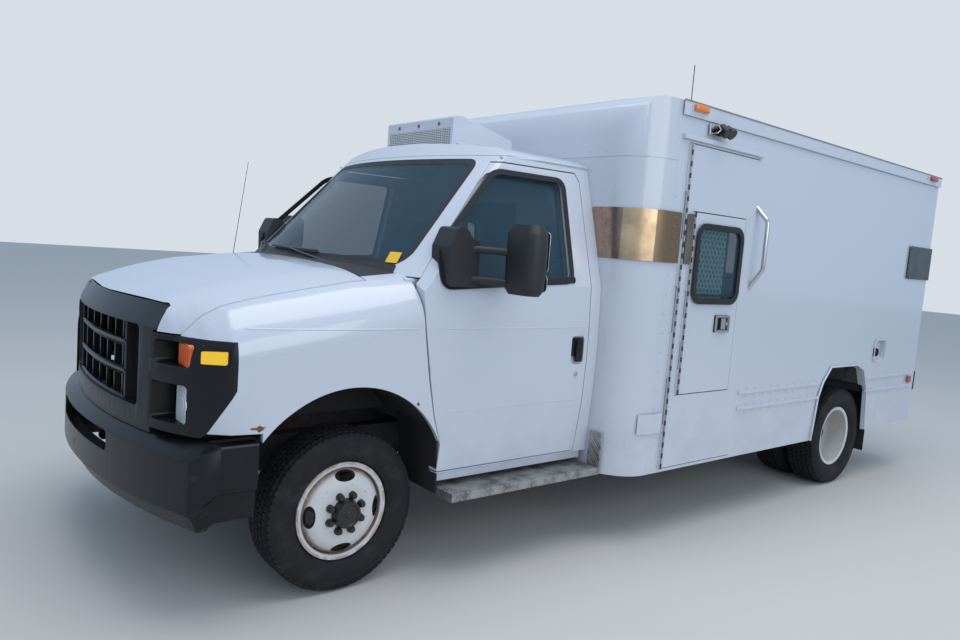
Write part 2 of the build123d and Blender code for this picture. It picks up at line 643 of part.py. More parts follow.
# Cab floor with toe board, bulkhead, tunnel and the cover over the engine
CAB_FLOOR_TOP = 705
CAB_FLOOR_THICK = 25
COVER_HALF = 300
COVER_TOP = 1080
TUNNEL_HALF = 160
TUNNEL_TOP = 830
BULKHEAD_X = FRONT_X - 215
TOE_X = FRONT_X - 445
TOE_Z = 1000
BULKHEAD_HALF = 810
with BuildPart() as cab_floor:
    block(CAB_BACK, TOE_X, -920, 920, CAB_FLOOR_TOP - CAB_FLOOR_THICK, CAB_FLOOR_TOP)
    block(TOE_X - CAB_FLOOR_THICK, TOE_X, -920, 920, CAB_FLOOR_TOP, TOE_Z)
    block(TOE_X - CAB_FLOOR_THICK, BULKHEAD_X, -BULKHEAD_HALF, BULKHEAD_HALF, TOE_Z - CAB_FLOOR_THICK, TOE_Z)
    block(BULKHEAD_X - CAB_FLOOR_THICK, BULKHEAD_X, -BULKHEAD_HALF, BULKHEAD_HALF, TOE_Z, 1370)
    block(ENGINE_BACK - 50, BULKHEAD_X, -COVER_HALF, COVER_HALF, CAB_FLOOR_TOP, COVER_TOP)
    block(ENGINE_BACK - 25, BULKHEAD_X + 10, -COVER_HALF + 25, COVER_HALF - 25, 400, COVER_TOP - 25,
          mode=Mode.SUBTRACT)
    block(CAB_BACK, ENGINE_BACK - 25, -TUNNEL_HALF, TUNNEL_HALF, CAB_FLOOR_TOP, TUNNEL_TOP)
    block(CAB_BACK - 10, ENGINE_BACK, -TUNNEL_HALF + 20, TUNNEL_HALF - 20, 400, TUNNEL_TOP - 20,
          mode=Mode.SUBTRACT)
finish(cab_floor, "cab_floor")

with BuildPart() as dashboard:
    side_prism(
        [
            (FRONT_X - 240 - SEAT, 1100), (FRONT_X - 240 - SEAT, 1372), (FRONT_X - 470, 1372),
            (FRONT_X - 560, 1290), (FRONT_X - 470, 1100),
        ],
        -BULKHEAD_HALF, BULKHEAD_HALF,
    )
    column = Plane(origin=(FRONT_X - 500, 380, 1180), z_dir=(-0.82, 0, 0.57))
    with BuildSketch(column):
        Circle(30)
    extrude(amount=170)
    with BuildSketch(column.offset(160)):
        Circle(190)
        Circle(165, mode=Mode.SUBTRACT)
        Rectangle(20, 350)
        Rectangle(350, 20)
    extrude(amount=20)
finish(dashboard, "dashboard")

with BuildPart() as seats:
    for side in (1, -1):
        y = side * 590
        z = CAB_FLOOR_TOP + SEAT
        block(FRONT_X - 1180, FRONT_X - 780, y - 200, y + 200, z, z + 140)
        block(FRONT_X - 1190, FRONT_X - 700, y - 240, y + 240, z + 140, z + 260)
        side_prism(
            [
                (FRONT_X - 1190, z + 240), (FRONT_X - 1060, z + 240), (FRONT_X - 1190, z + 840),
                (FRONT_X - 1300, z + 840),
            ],
            y - 230, y + 230,
        )
        block(FRONT_X - 1310, FRONT_X - 1220, y - 130, y + 130, z + 840, z + 1000)
finish(seats, "seats")

# Nose sections by (ahead of the axle, half width, shoulder z, shut line y, shut line z, y and z where the
# top begins to roll over, crown z)
NOSE = (
    (-420, 1003, 1230, 870, 1425, 560, 1463, 1478),
    (0, 1003, 1150, 850, 1378, 560, 1421, 1437),
    (300, 998, 1100, 832, 1322, 565, 1382, 1401),
    (450, 986, 1070, 817, 1289, 570, 1347, 1367),
    (550, 968, 1045, 802, 1260, 575, 1316, 1336),
    (620, 918, 1025, 787, 1220, 578, 1291, 1310),
    (670, 850, 1010, 765, 1163, 580, 1272, 1290),
    (710, 775, 1000, 728, 1105, 578, 1254, 1274),
    (745, 692, 990, 662, 1060, 560, 1222, 1263),
    (775, 560, 980, 540, 1040, 450, 1195, 1252),
)
SILL_FOOT = 420


def nose_form(inset):
    """The nose's outer form, or the space inside it drawn in by a wall."""
    sections = []
    for ahead, half, shoulder, shut_y, shut_z, edge_y, edge_z, crown in NOSE:
        x = FRONT_X + ahead
        if inset and ahead < 0:
            x -= 1
        if inset and ahead > 600:
            x -= inset
        with BuildSketch(Plane.YZ.offset(x), mode=Mode.PRIVATE) as section:
            with BuildLine():
                top = ThreePointArc((edge_y - inset, edge_z - inset), (0, crown - inset),
                                    (inset - edge_y, edge_z - inset))
                for side, tangent in ((1, -(top % 0)), (-1, top % 1)):
                    foot, shelf, shut = [
                        (side * (y - inset), z - inset if z > SILL_FOOT else z)
                        for y, z in ((half, SILL_FOOT), (half, shoulder), (shut_y, shut_z))
                    ]
                    TangentArc((side * (edge_y - inset), edge_z - inset), shut, tangent=tangent)
                    Line(foot, shelf)
                    TangentArc(shelf, shut, tangent=(0, 1))
                Line((half - inset, SILL_FOOT), (inset - half, SILL_FOOT))
            make_face()
        sections.append(section.sketch)
    return loft(sections, ruled=True, mode=Mode.PRIVATE)


nose_outer = nose_form(0)
nose_inner = nose_form(NOSE_WALL)


def shut_half(x):
    """Half the hood's width at x, along the shut lines."""
    for (back, *row0), (front, *row1) in zip(NOSE, NOSE[1:]):
        if x <= FRONT_X + front:
            share = (x - FRONT_X - back) / (front - back)
            return row0[2] + share * (row1[2] - row0[2])
    return NOSE[-1][3]


GRILLE_X = FRONT_X + 824
GRILLE_EAR = 34
GRILLE_RADIUS = 2600
GRILLE_BEND_X = GRILLE_X - GRILLE_RADIUS
BEZEL_LOW = 757


def hood_plan(grow, x_front, x_back):
    """The space between the hood's shut lines seen from above, from x_back to x_front."""
    stations = [FRONT_X + row[0] for row in NOSE if x_back < FRONT_X + row[0] < x_front]
    left = [(x, shut_half(x) + grow) for x in [x_back] + stations + [x_front]]
    return left + [(x, -y) for x, y in reversed(left)]


def grille_outline(grow):
    """The grille surround from the front, with an ear at each top corner, or the hood's cut-out over it."""
    ear = GRILLE_HALF + GRILLE_EAR + grow
    top = GRILLE_TOP + grow
    left = [(ear, LAMP_TOP + 60), (ear - 1, top - 30), (ear - 9, top - 9), (ear - 30, top)]
    if grow:
        left = [(ear, 600)] + left
    else:
        left = [(GRILLE_HALF, 600), (GRILLE_HALF, LAMP_TOP + 4), (ear - 6, LAMP_TOP + 11)] + left
    return left + [(-y, z) for y, z in reversed(left)]


# Radiator in its support, whose posts carry the shut hood on their tops
POST_Y = 450
with BuildPart() as radiator:
    block(FRONT_X + 560, FRONT_X + 620, -420, 420, RAIL_TOP - RAIL_DROP + SEAT, 1150)
    for side in (1, -1):
        block(FRONT_X + 560, FRONT_X + 620, side * (RAIL_HALF - 30), side * POST_Y,
              RAIL_TOP - RAIL_DROP + SEAT, 1500)
    add(nose_form(NOSE_WALL + SEAT), mode=Mode.INTERSECT)
finish(radiator, "radiator")

with BuildPart() as hood:
    add(nose_outer)
    add(nose_inner, mode=Mode.SUBTRACT)
    with BuildPart(mode=Mode.PRIVATE) as lid:
        plan_prism(hood_plan(0, NOSE_X, HOOD_BACK), LAMP_TOP + GAP, 1600)
    add(lid.part, mode=Mode.INTERSECT)
    front_prism(grille_outline(GAP), FRONT_X + 500, NOSE_X, mode=Mode.SUBTRACT)
finish(hood, "hood")

# Bezel's rear edge as (x, z), from its top corner down to its slanted foot
BEZEL_EDGE = (
    (BEZEL_BACK, LAMP_TOP + SEAT), (BEZEL_BACK, 950), (FRONT_X + 628, 772), (FRONT_X + 628, 600),
)
with BuildPart() as fenders:
    add(nose_outer)
    add(nose_inner, mode=Mode.SUBTRACT)
    plan_prism(hood_plan(GAP, NOSE_X, FRONT_X - 420), LAMP_TOP - 400, 1600, mode=Mode.SUBTRACT)
    block(FRONT_X - 500, NOSE_X, -2000, 2000, PILLAR_FOOT - 3, 2000, mode=Mode.SUBTRACT)
    block(FRONT_X + 430, NOSE_X, -2000, 2000, 0, NOSE_LOW, mode=Mode.SUBTRACT)
    side_prism([(x - SEAT, z) for x, z in BEZEL_EDGE] + [(NOSE_X, 600), (NOSE_X, LAMP_TOP + SEAT)],
               -2000, 2000, mode=Mode.SUBTRACT)
    block(FRONT_X - 500, NOSE_X, -700, 700, 0, 2000, mode=Mode.SUBTRACT)
    rod_y(ARCH_X, ARCH_Z, ARCH_RADIUS, -2000, 2000, mode=Mode.SUBTRACT)
    block(ARCH_X - 435, NOSE_X, -2000, 2000, 0, ARCH_Z + 190, mode=Mode.SUBTRACT)
    for side in (1, -1):
        side_prism(setback_points(DOOR_EDGE, GAP), side * 600, side * 1200, mode=Mode.SUBTRACT)
    block(CAB_BACK, FRONT_X - 430, -2000, 2000, 0, 2000, mode=Mode.SUBTRACT)
finish(fenders, "fenders")

# Liners over the front tyres: a curved sheet under the arch and a wall inside it, above the tyre's reach
LINER_INNER_Y = 605
LINER_THICK = 6
LINER_FOOT_Z = AXLE_Z + TYRE_RADIUS + 21
LINER_BACK_X = FRONT_X - 395
LINER_FRONT_X = FRONT_X + 440
with BuildPart() as arch_liners:
    for side in (1, -1):
        rod_y(ARCH_X, ARCH_Z, ARCH_RADIUS + LINER_THICK, side * LINER_INNER_Y, side * (CAB_HALF - 24))
        rod_y(ARCH_X, ARCH_Z, ARCH_RADIUS, side * (LINER_INNER_Y + LINER_THICK), side * CAB_HALF,
              mode=Mode.SUBTRACT)
    block(FRONT_X - 600, NOSE_X, -2000, 2000, 0, LINER_FOOT_Z, mode=Mode.SUBTRACT)
    block(LINER_BACK_X, FRONT_X - 700, -2000, 2000, 0, 2000, mode=Mode.SUBTRACT)
    block(LINER_FRONT_X, NOSE_X, -2000, 2000, 0, 2000, mode=Mode.SUBTRACT)
    add(nose_inner, mode=Mode.INTERSECT)
finish(arch_liners, "arch_liners")

with BuildPart() as cowl:
    add(nose_outer)
    with BuildPart(mode=Mode.PRIVATE) as strip:
        plan_prism(hood_plan(GAP - SEAT, HOOD_BACK - GAP, FRONT_X - 415), LAMP_TOP, 1600)
    add(strip.part, mode=Mode.INTERSECT)
    add(nose_inner, mode=Mode.SUBTRACT)
    add(raked_space(-1.5 * SEAT, PILLAR_FOOT - 250, ROOF_Z, CAB_BACK), mode=Mode.SUBTRACT)
    block(FRONT_X - 430, FRONT_X, -2000, 2000, 0, 1372, mode=Mode.SUBTRACT)
finish(cowl, "cowl")

# Grille: a surround round a recess, with level bars between two side columns, bowed in plan
BAR_HALF = 384
OPEN_HALF = 520
OPEN_LOW = 816
OPEN_HIGH = 1150
BAR_TOPS = (1068, 943, 827)
RIB_COUNT = 6
with BuildPart() as grille:
    bowed(
        [
            (GRILLE_RADIUS - 60, 756), (GRILLE_RADIUS, 726), (GRILLE_RADIUS, 1152),
            (GRILLE_RADIUS - 55, GRILLE_TOP), (GRILLE_RADIUS - 130, GRILLE_TOP),
            (GRILLE_RADIUS - 130, GRILLE_TOP - 12), (GRILLE_RADIUS - 60, GRILLE_TOP - 12),
        ],
        GRILLE_BEND_X, 16,
    )
    with BuildPart(mode=Mode.PRIVATE) as edge:
        front_prism(grille_outline(0), FRONT_X + 500, NOSE_X)
    add(edge.part, mode=Mode.INTERSECT)
    front_prism(corners(-OPEN_HALF, OPEN_HALF, OPEN_LOW, OPEN_HIGH), FRONT_X + 500, NOSE_X,
                mode=Mode.SUBTRACT, radius=22)
    for top in BAR_TOPS:
        bowed(
            [
                (GRILLE_RADIUS - 55, top - 34), (GRILLE_RADIUS - 36, top - 40),
                (GRILLE_RADIUS - 12, top - 14), (GRILLE_RADIUS - 8, top),
                (GRILLE_RADIUS - 18, top + 4), (GRILLE_RADIUS - 55, top - 6),
            ],
            GRILLE_BEND_X, degrees(BAR_HALF / GRILLE_RADIUS),
        )
    with BuildPart(mode=Mode.PRIVATE) as upright:
        for side in (1, -1):
            block(FRONT_X + 500, NOSE_X, side * (BAR_HALF - 12), side * (BAR_HALF + 4), 800, 1165)
        for k in range(RIB_COUNT):
            y = (k - (RIB_COUNT - 1) / 2) * 2 * BAR_HALF / RIB_COUNT
            block(FRONT_X + 500, GRILLE_X - 45, y - 7, y + 7, 800, 1165)
    with BuildPart(mode=Mode.PRIVATE) as posts:
        bowed([(GRILLE_RADIUS - 60, 800), (GRILLE_RADIUS - 12, 800), (GRILLE_RADIUS - 12, 1165),
               (GRILLE_RADIUS - 60, 1165)], GRILLE_BEND_X, 10)
        add(upright.part, mode=Mode.INTERSECT)
    add(posts.part)
    with BuildPart(mode=Mode.PRIVATE) as backs:
        bowed([(GRILLE_RADIUS - 60, 800), (GRILLE_RADIUS - 50, 800), (GRILLE_RADIUS - 50, 1165),
               (GRILLE_RADIUS - 60, 1165)], GRILLE_BEND_X, degrees((OPEN_HALF + 20) / GRILLE_RADIUS))
        block(FRONT_X + 500, NOSE_X, -BAR_HALF, BAR_HALF, 700, 1300, mode=Mode.SUBTRACT)
    add(backs.part)
finish(grille, "grille")

# Lamp pockets on the left by (y of the inner and outer ends, z of the foot and top)
LAMP_POCKETS = ((648, 842, 1020, 1112), (648, 832, 796, 950))
LAMP_BACK_X = FRONT_X + 622
LENS_THICK = 30
with BuildPart() as headlamp_bezels:
    add(nose_outer)
    with BuildPart(mode=Mode.PRIVATE) as corner:
        for side in (1, -1):
            side_prism(list(BEZEL_EDGE[1:3]) + [(FRONT_X + 640, BEZEL_LOW), (NOSE_X, BEZEL_LOW),
                                                (NOSE_X, LAMP_TOP), (BEZEL_BACK, LAMP_TOP)],
                       side * (GRILLE_HALF + SEAT), side * 1000)
    add(corner.part, mode=Mode.INTERSECT)
    for side in (1, -1):
        for y0, y1, z0, z1 in LAMP_POCKETS:
            front_prism(corners(side * y0, side * y1, z0, z1), LAMP_BACK_X, NOSE_X, mode=Mode.SUBTRACT,
                        radius=18)
        block(BEZEL_BACK - 10, LAMP_BACK_X - 14, side * (GRILLE_HALF + 20), side * 900, 800, LAMP_TOP - 14,
              mode=Mode.SUBTRACT)
finish(headlamp_bezels, "headlamp_bezels")

with BuildPart() as headlamps:
    for side in (1, -1):
        for y0, y1, z0, z1 in LAMP_POCKETS:
            front_prism(corners(side * (y0 + SEAT), side * (y1 - SEAT), z0 + SEAT, z1 - SEAT),
                        LAMP_BACK_X + SEAT, LAMP_BACK_X + LENS_THICK, radius=18 - SEAT)
finish(headlamps, "headlamps")

# Bumper sections as (set in from the face, z): in front, and round at the side
BUMPER_FRONT = (
    (104, 736), (104, 745), (96, 745), (8, 692), (0, 684), (0, 480), (22, 462), (50, 405), (62, 400),
    (100, 400), (68, 470), (48, 500), (48, 672), (94, 728),
)
BUMPER_SIDE = (
    (70, 736), (70, 745), (40, 745), (6, 745), (0, 738), (0, 566), (18, 552), (22, 446), (32, 441),
    (66, 441), (62, 552), (48, 575), (48, 720), (60, 730),
)
BUMPER_RADIUS = 2720.6
BUMPER_BEND_X = NOSE_X - BUMPER_RADIUS
BUMPER_DEGREES = 20.66
BUMPER_SIDE_Y = 1003
BUMPER_SIDE_X = FRONT_X + 600
BUMPER_BACK_X = FRONT_X + 450
with BuildPart() as front_bumper:
    bowed([(BUMPER_RADIUS - inset, z) for inset, z in BUMPER_FRONT], BUMPER_BEND_X, BUMPER_DEGREES)
    for side in (1, -1):
        end = swung_plane(BUMPER_BEND_X, side * BUMPER_DEGREES)
        sections = [[end.from_local_coords((BUMPER_RADIUS - inset, z, 0)) for inset, z in BUMPER_FRONT]]
        for x in (BUMPER_SIDE_X, BUMPER_BACK_X):
            sections.append([Vector(x, side * (BUMPER_SIDE_Y - inset), z) for inset, z in BUMPER_SIDE])
        add(Solid.make_loft([Wire.make_polygon(section) for section in sections], ruled=True))
    front_prism(corners(-385, 385, 600, 686), NOSE_X - 150, NOSE_X + 10, mode=Mode.SUBTRACT, radius=16)
    for side in (1, -1):
        block(RAIL_FRONT + SEAT, NOSE_X - 70, side * (RAIL_HALF - 50), side * (RAIL_HALF - 5), 480, 590)
finish(front_bumper, "front_bumper")

# Running boards on brackets from the rails, with the upright plates at their back ends
BOARD_LOW = 392
BOARD_TOP = 432
BOARD_INNER_Y = 860
BOARD_OUTER_Y = 1100
BRACKET_HALF = 25
BRACKET_WALL = 12
with BuildPart() as running_boards:
    for side in (1, -1):
        rail = side * (RAIL_HALF + SEAT)
        foot = side * (RAIL_HALF + SEAT + BRACKET_WALL)
        block(CAB_BACK + SEAT, FRONT_X - 445, side * BOARD_INNER_Y, side * BOARD_OUTER_Y, BOARD_LOW, BOARD_TOP)
        block(CAB_BACK + SEAT, CAB_BACK + 10, side * 1012, side * BOARD_OUTER_Y, BOARD_TOP + SEAT, 620)
        for x in (CAB_BACK + 150, CAB_BACK + 480):
            block(x - BRACKET_HALF, x + BRACKET_HALF, rail, foot, 395, 600)
            block(x - BRACKET_HALF, x + BRACKET_HALF, foot + side * SEAT, side * (BOARD_INNER_Y - SEAT),
                  395, 425)
finish(running_boards, "running_boards")


# Patient box
def box_form(inset):
    """The box's outer form, or the room inside it, with its round front corners and rolled top."""
    with BuildPart(mode=Mode.PRIVATE) as form:
        with BuildSketch(Plane.XY.offset(BOX_LOW - (10 if inset else 0))):
            with BuildLine():
                front = BOX_FRONT - inset
                half = BOX_HALF - inset
                back = BOX_BACK - (1 if inset else 0)
                bend = CORNER - inset
                Polyline((front - bend, half), (back, half), (back, -half), (front - bend, -half))
                RadiusArc((front - bend, -half), (front, -half + bend), -bend)
                Line((front, -half + bend), (front, half - bend))
                RadiusArc((front, half - bend), (front - bend, half), -bend)
            make_face()
        extrude(amount=BOX_CROWN + 100 - BOX_LOW)
        top = BOX_TOP - inset
        crown = BOX_CROWN - inset
        with BuildSketch(Plane.YZ.offset(BOX_BACK - 10), mode=Mode.PRIVATE) as crowned:
            with BuildLine():
                ThreePointArc((-BOX_HALF, top), (0, crown), (BOX_HALF, top))
                Polyline((BOX_HALF, top), (BOX_HALF, 0), (-BOX_HALF, 0), (-BOX_HALF, top))
            make_face()
        extrude(crowned.sketch, amount=BOX_FRONT - BOX_BACK + 20, mode=Mode.INTERSECT)
        with BuildSketch(side_plane(-BOX_HALF - 10), mode=Mode.PRIVATE) as rolled:
            with BuildLine():
                Polyline((front - bend, crown + 1), (BOX_BACK - 10, crown + 1), (BOX_BACK - 10, 0),
                         (front, 0), (front, crown + 1 - bend))
                RadiusArc((front, crown + 1 - bend), (front - bend, crown + 1), -bend)
            make_face()
        extrude(rolled.sketch, amount=-2 * BOX_HALF - 20, mode=Mode.INTERSECT)
    return form.part


box_outer = box_form(0)
box_inner = box_form(BOX_WALL)

CAP_SEAM_Z = 2098
SEAM_DEPTH = 2.5
SEAM_WIDTH = 4

# Side door openings, the same on both sides: x of the front and back edges, z of the low and high ones
SIDE_DOOR_X0 = FRONT_X - 1800
SIDE_DOOR_X1 = FRONT_X - 2490
SIDE_DOOR_Z0 = 415
SIDE_DOOR_Z1 = 2204
SIDE_DOOR_PROUD = 4
SIDE_PIN_X = SIDE_DOOR_X0 + PIN_OFFSET
SIDE_PIN_Y = BOX_HALF + SIDE_DOOR_PROUD + PIN_OFFSET
REAR_FRAME = 70
REAR_DOOR_HALF = 1060
REAR_DOOR_Z0 = 800
REAR_DOOR_Z1 = 2290
REAR_DOOR_PROUD = 6
REAR_PIN_X = BOX_BACK - REAR_DOOR_PROUD - PIN_OFFSET
REAR_PIN_Y = REAR_DOOR_HALF + PIN_OFFSET
PASS_HALF = 260

with BuildPart() as box_front:
    add(box_outer)
    add(box_inner, mode=Mode.SUBTRACT)
    block(BOX_BACK - 10, CAP_BACK, -2000, 2000, 0, 3000, mode=Mode.SUBTRACT)
    block(CAP_BACK - 10, BOX_FRONT + 10, -PASS_HALF, PASS_HALF, FLOOR_TOP, 1850, mode=Mode.SUBTRACT)
    block(CAP_BACK - 10, BOX_FRONT + 10, -860, 860, 0, FLOOR_TOP - FLOOR_THICK, mode=Mode.SUBTRACT)
    # The seam under the cap, a shallow groove round the front wall and its corners
    with BuildPart(mode=Mode.PRIVATE) as groove:
        add(box_outer)
        add(box_form(SEAM_DEPTH), mode=Mode.SUBTRACT)
        block(CAP_BACK - 10, BOX_FRONT + 10, -2000, 2000, CAP_SEAM_Z, CAP_SEAM_Z + SEAM_WIDTH,
              mode=Mode.INTERSECT)
    add(groove.part, mode=Mode.SUBTRACT)
finish(box_front, "box_front")

FILLER_X0 = FRONT_X - 4375
FILLER_X1 = FRONT_X - 4575
FILLER_Z0 = 930
FILLER_Z1 = 1090
FILLER_DEPTH = 32
with BuildPart() as box_sides:
    for side in (1, -1):
        block(BOX_BACK + REAR_FRAME + SEAT, CAP_BACK - SEAT, side * (BOX_HALF - BOX_WALL), side * BOX_HALF,
              FLOOR_TOP - FLOOR_THICK, BOX_TOP - BOX_WALL - SEAT)
        block(BOX_BACK + REAR_FRAME + SEAT, CAP_BACK - SEAT, side * (BOX_HALF - SKIRT), side * BOX_HALF,
              BOX_LOW, FLOOR_TOP - FLOOR_THICK)
    block(SIDE_DOOR_X0 + GAP, SIDE_DOOR_X1 - GAP, -2000, 2000, SIDE_DOOR_Z0 - GAP, SIDE_DOOR_Z1 + GAP,
          mode=Mode.SUBTRACT)
    for side in (1, -1):
        knuckles(SIDE_PIN_X, side * SIDE_PIN_Y, SIDE_DOOR_Z0, SIDE_DOOR_Z1, False, SIDE_PIN_X + LEAF,
                 side * (BOX_HALF - 1))
    side_prism(
        [
            (REAR_X + 498, 300), (REAR_X + 458, 703), (REAR_X + 411, 800), (REAR_X + 313, WELL_TOP),
            (REAR_X - 100, WELL_TOP), (REAR_X - 213, 863), (REAR_X - 300, 700), (REAR_X - 348, 300),
        ],
        -2000, 2000, mode=Mode.SUBTRACT,
    )
    # Fuel filler: a recess in the left wall
    side_prism(corners(FILLER_X0, FILLER_X1, FILLER_Z0, FILLER_Z1), BOX_HALF - FILLER_DEPTH, BOX_HALF + 10,
               mode=Mode.SUBTRACT, radius=40)
finish(box_sides, "box_sides")

with BuildPart() as box_roof:
    add(box_outer)
    add(box_inner, mode=Mode.SUBTRACT)
    block(BOX_BACK - 10, BOX_FRONT + 10, -2000, 2000, 0, BOX_TOP - BOX_WALL, mode=Mode.SUBTRACT)
    block(CAP_BACK - SEAT, BOX_FRONT + 10, -2000, 2000, 0, 3000, mode=Mode.SUBTRACT)
finish(box_roof, "box_roof")

with BuildPart() as box_rear:
    block(BOX_BACK, BOX_BACK + REAR_FRAME, -BOX_HALF, BOX_HALF, FLOOR_TOP - 120, BOX_TOP - BOX_WALL - SEAT)
    for side in (1, -1):
        block(BOX_BACK, BOX_BACK + REAR_FRAME, side * (BOX_HALF - 180), side * BOX_HALF, BOX_LOW,
              FLOOR_TOP - 120)
    block(BOX_BACK - 10, BOX_BACK + REAR_FRAME + 10, -REAR_DOOR_HALF - GAP, REAR_DOOR_HALF + GAP,
          REAR_DOOR_Z0 - GAP, REAR_DOOR_Z1 + GAP, mode=Mode.SUBTRACT)
    for side in (1, -1):
        knuckles(REAR_PIN_X, side * REAR_PIN_Y, REAR_DOOR_Z0, REAR_DOOR_Z1, False, BOX_BACK + 1,
                 side * (REAR_PIN_Y + LEAF))
finish(box_rear, "box_rear")

FLOOR_HALF = BOX_HALF - BOX_WALL - SEAT
FLOOR_LOW = FLOOR_TOP - FLOOR_THICK
WELL_INNER_Y = 660
WELL_WALL = 20
STEP_INNER_Y = 900
STEP_OUTER_Y = FLOOR_HALF - 60
STEP_Z = 440
STEP_WALL = 12
CROSSMEMBER_PITCH = 520
with BuildPart() as box_floor:
    block(BOX_BACK + REAR_FRAME + SEAT, CAP_BACK - SEAT, -FLOOR_HALF, FLOOR_HALF, FLOOR_LOW, FLOOR_TOP)
    block(CAP_BACK - SEAT, BOX_FRONT - BOX_WALL - SEAT, -STEP_INNER_Y, STEP_INNER_Y, FLOOR_LOW, FLOOR_TOP)
    for side in (1, -1):
        block(WELL_X0 + SEAT, WELL_X1 - SEAT, side * (WELL_INNER_Y - SEAT), side * 1300, 0, 3000,
              mode=Mode.SUBTRACT)
        block(SIDE_DOOR_X0 + SEAT, SIDE_DOOR_X1 - SEAT, side * (STEP_INNER_Y - SEAT), side * 1300, 0, 3000,
              mode=Mode.SUBTRACT)
    for k in range(7):
        x = BOX_BACK + 260 + k * CROSSMEMBER_PITCH
        half = WELL_INNER_Y - 20 if WELL_X1 < x < WELL_X0 else BOX_HALF - 75
        if SIDE_DOOR_X1 - 30 < x < SIDE_DOOR_X0 + 30:
            half = STEP_INNER_Y - 10
        block(x - 25, x + 25, -half, half, RAIL_TOP + SEAT, FLOOR_LOW - SEAT)
finish(box_floor, "box_floor")

with BuildPart() as wheel_housings:
    for side in (1, -1):
        block(WELL_X0, WELL_X1, side * WELL_INNER_Y, side * FLOOR_HALF, FLOOR_LOW, WELL_TOP + WELL_WALL)
        block(WELL_X0 - WELL_WALL, WELL_X1 + WELL_WALL, side * (WELL_INNER_Y + WELL_WALL), side * 1300,
              0, WELL_TOP, mode=Mode.SUBTRACT)
finish(wheel_housings, "wheel_housings")

with BuildPart() as step_wells:
    for side in (1, -1):
        block(SIDE_DOOR_X0, SIDE_DOOR_X1, side * STEP_INNER_Y, side * STEP_OUTER_Y, STEP_Z, FLOOR_TOP)
        block(SIDE_DOOR_X0 - STEP_WALL, SIDE_DOOR_X1 + STEP_WALL, side * (STEP_INNER_Y + STEP_WALL),
              side * 1300, STEP_Z + STEP_WALL, 3000, mode=Mode.SUBTRACT)
finish(step_wells, "step_wells")

SIDE_DOOR_THICK = 45
HATCH_X0 = FRONT_X - 1885
HATCH_X1 = FRONT_X - 2400
HATCH_Z0 = 830
HATCH_Z1 = 1847
HATCH_THICK = 26
HATCH_PROUD = 2
HATCH_PIN_X = HATCH_X0 + PIN_OFFSET
HATCH_PIN_Y = BOX_HALF + SIDE_DOOR_PROUD + HATCH_PROUD + PIN_OFFSET
PANE_X0 = FRONT_X - 1930
PANE_X1 = FRONT_X - 2365
PANE_Z0 = 1358
PANE_Z1 = 1778
PANE_RADIUS = 62
LATCH_X0 = FRONT_X - 2180
LATCH_X1 = FRONT_X - 2326
LATCH_Z0 = 1178
LATCH_Z1 = 1280
LATCH_DEPTH = 14
for side, word in ((1, "left"), (-1, "right")):
    outer = side * (BOX_HALF + SIDE_DOOR_PROUD)
    inner = outer - side * SIDE_DOOR_THICK
    with BuildPart() as side_door:
        block(SIDE_DOOR_X0, SIDE_DOOR_X1, inner, outer, SIDE_DOOR_Z0, SIDE_DOOR_Z1)
        if side == 1:
            block(HATCH_X0 + GAP, HATCH_X1 - GAP, 0, side * 2000, HATCH_Z0 - GAP, HATCH_Z1 + GAP,
                  mode=Mode.SUBTRACT)
            knuckles(HATCH_PIN_X, HATCH_PIN_Y, HATCH_Z0, HATCH_Z1, False, HATCH_PIN_X + LEAF,
                     outer - 1)
        else:
            side_prism(corners(PANE_X0, PANE_X1, PANE_Z0, PANE_Z1), 0, side * 2000, mode=Mode.SUBTRACT,
                       radius=PANE_RADIUS)
        knuckles(SIDE_PIN_X, side * SIDE_PIN_Y, SIDE_DOOR_Z0, SIDE_DOOR_Z1, True,
                 SIDE_DOOR_X0 - LEAF, outer - side)
    finish(side_door, f"side_door_{word}")

with BuildPart() as side_hatch:
    block(HATCH_X0, HATCH_X1, HATCH_PIN_Y - PIN_OFFSET - HATCH_THICK, HATCH_PIN_Y - PIN_OFFSET,
          HATCH_Z0, HATCH_Z1)
    side_prism(corners(PANE_X0, PANE_X1, PANE_Z0, PANE_Z1), 0, 2000, mode=Mode.SUBTRACT, radius=PANE_RADIUS)
    side_prism(corners(LATCH_X0, LATCH_X1, LATCH_Z0, LATCH_Z1), HATCH_PIN_Y - PIN_OFFSET - LATCH_DEPTH, 2000,
               mode=Mode.SUBTRACT, radius=10)
    knuckles(HATCH_PIN_X, HATCH_PIN_Y, HATCH_Z0, HATCH_Z1, True, HATCH_X0 - LEAF,
             HATCH_PIN_Y - PIN_OFFSET - 1)
finish(side_hatch, "side_hatch")

REAR_DOOR_THICK = 50
for side, word in ((1, "left"), (-1, "right")):
    with BuildPart() as rear_door:
        block(REAR_PIN_X + PIN_OFFSET, REAR_PIN_X + PIN_OFFSET + REAR_DOOR_THICK, side * GAP / 2,
              side * REAR_DOOR_HALF, REAR_DOOR_Z0, REAR_DOOR_Z1)
        front_prism(corners(side * 320, side * 780, 1480, 2050), BOX_BACK - 100, BOX_BACK + 100,
                    mode=Mode.SUBTRACT, radius=PANE_RADIUS)
        knuckles(REAR_PIN_X, side * REAR_PIN_Y, REAR_DOOR_Z0, REAR_DOOR_Z1, True,
                 REAR_PIN_X + PIN_OFFSET + 1, side * (REAR_DOOR_HALF - LEAF))
    finish(rear_door, f"rear_door_{word}")

# Rear step
with BuildPart() as rear_bumper:
    block(TAIL_X, BOX_BACK - SEAT, -1150, 1150, 470, 640)
    for side in (1, -1):
        block(BOX_BACK - SEAT, RAIL_BACK - SEAT, side * (RAIL_HALF - RAIL_FLANGE), side * RAIL_HALF,
              510, 640)
finish(rear_bumper, "rear_bumper")

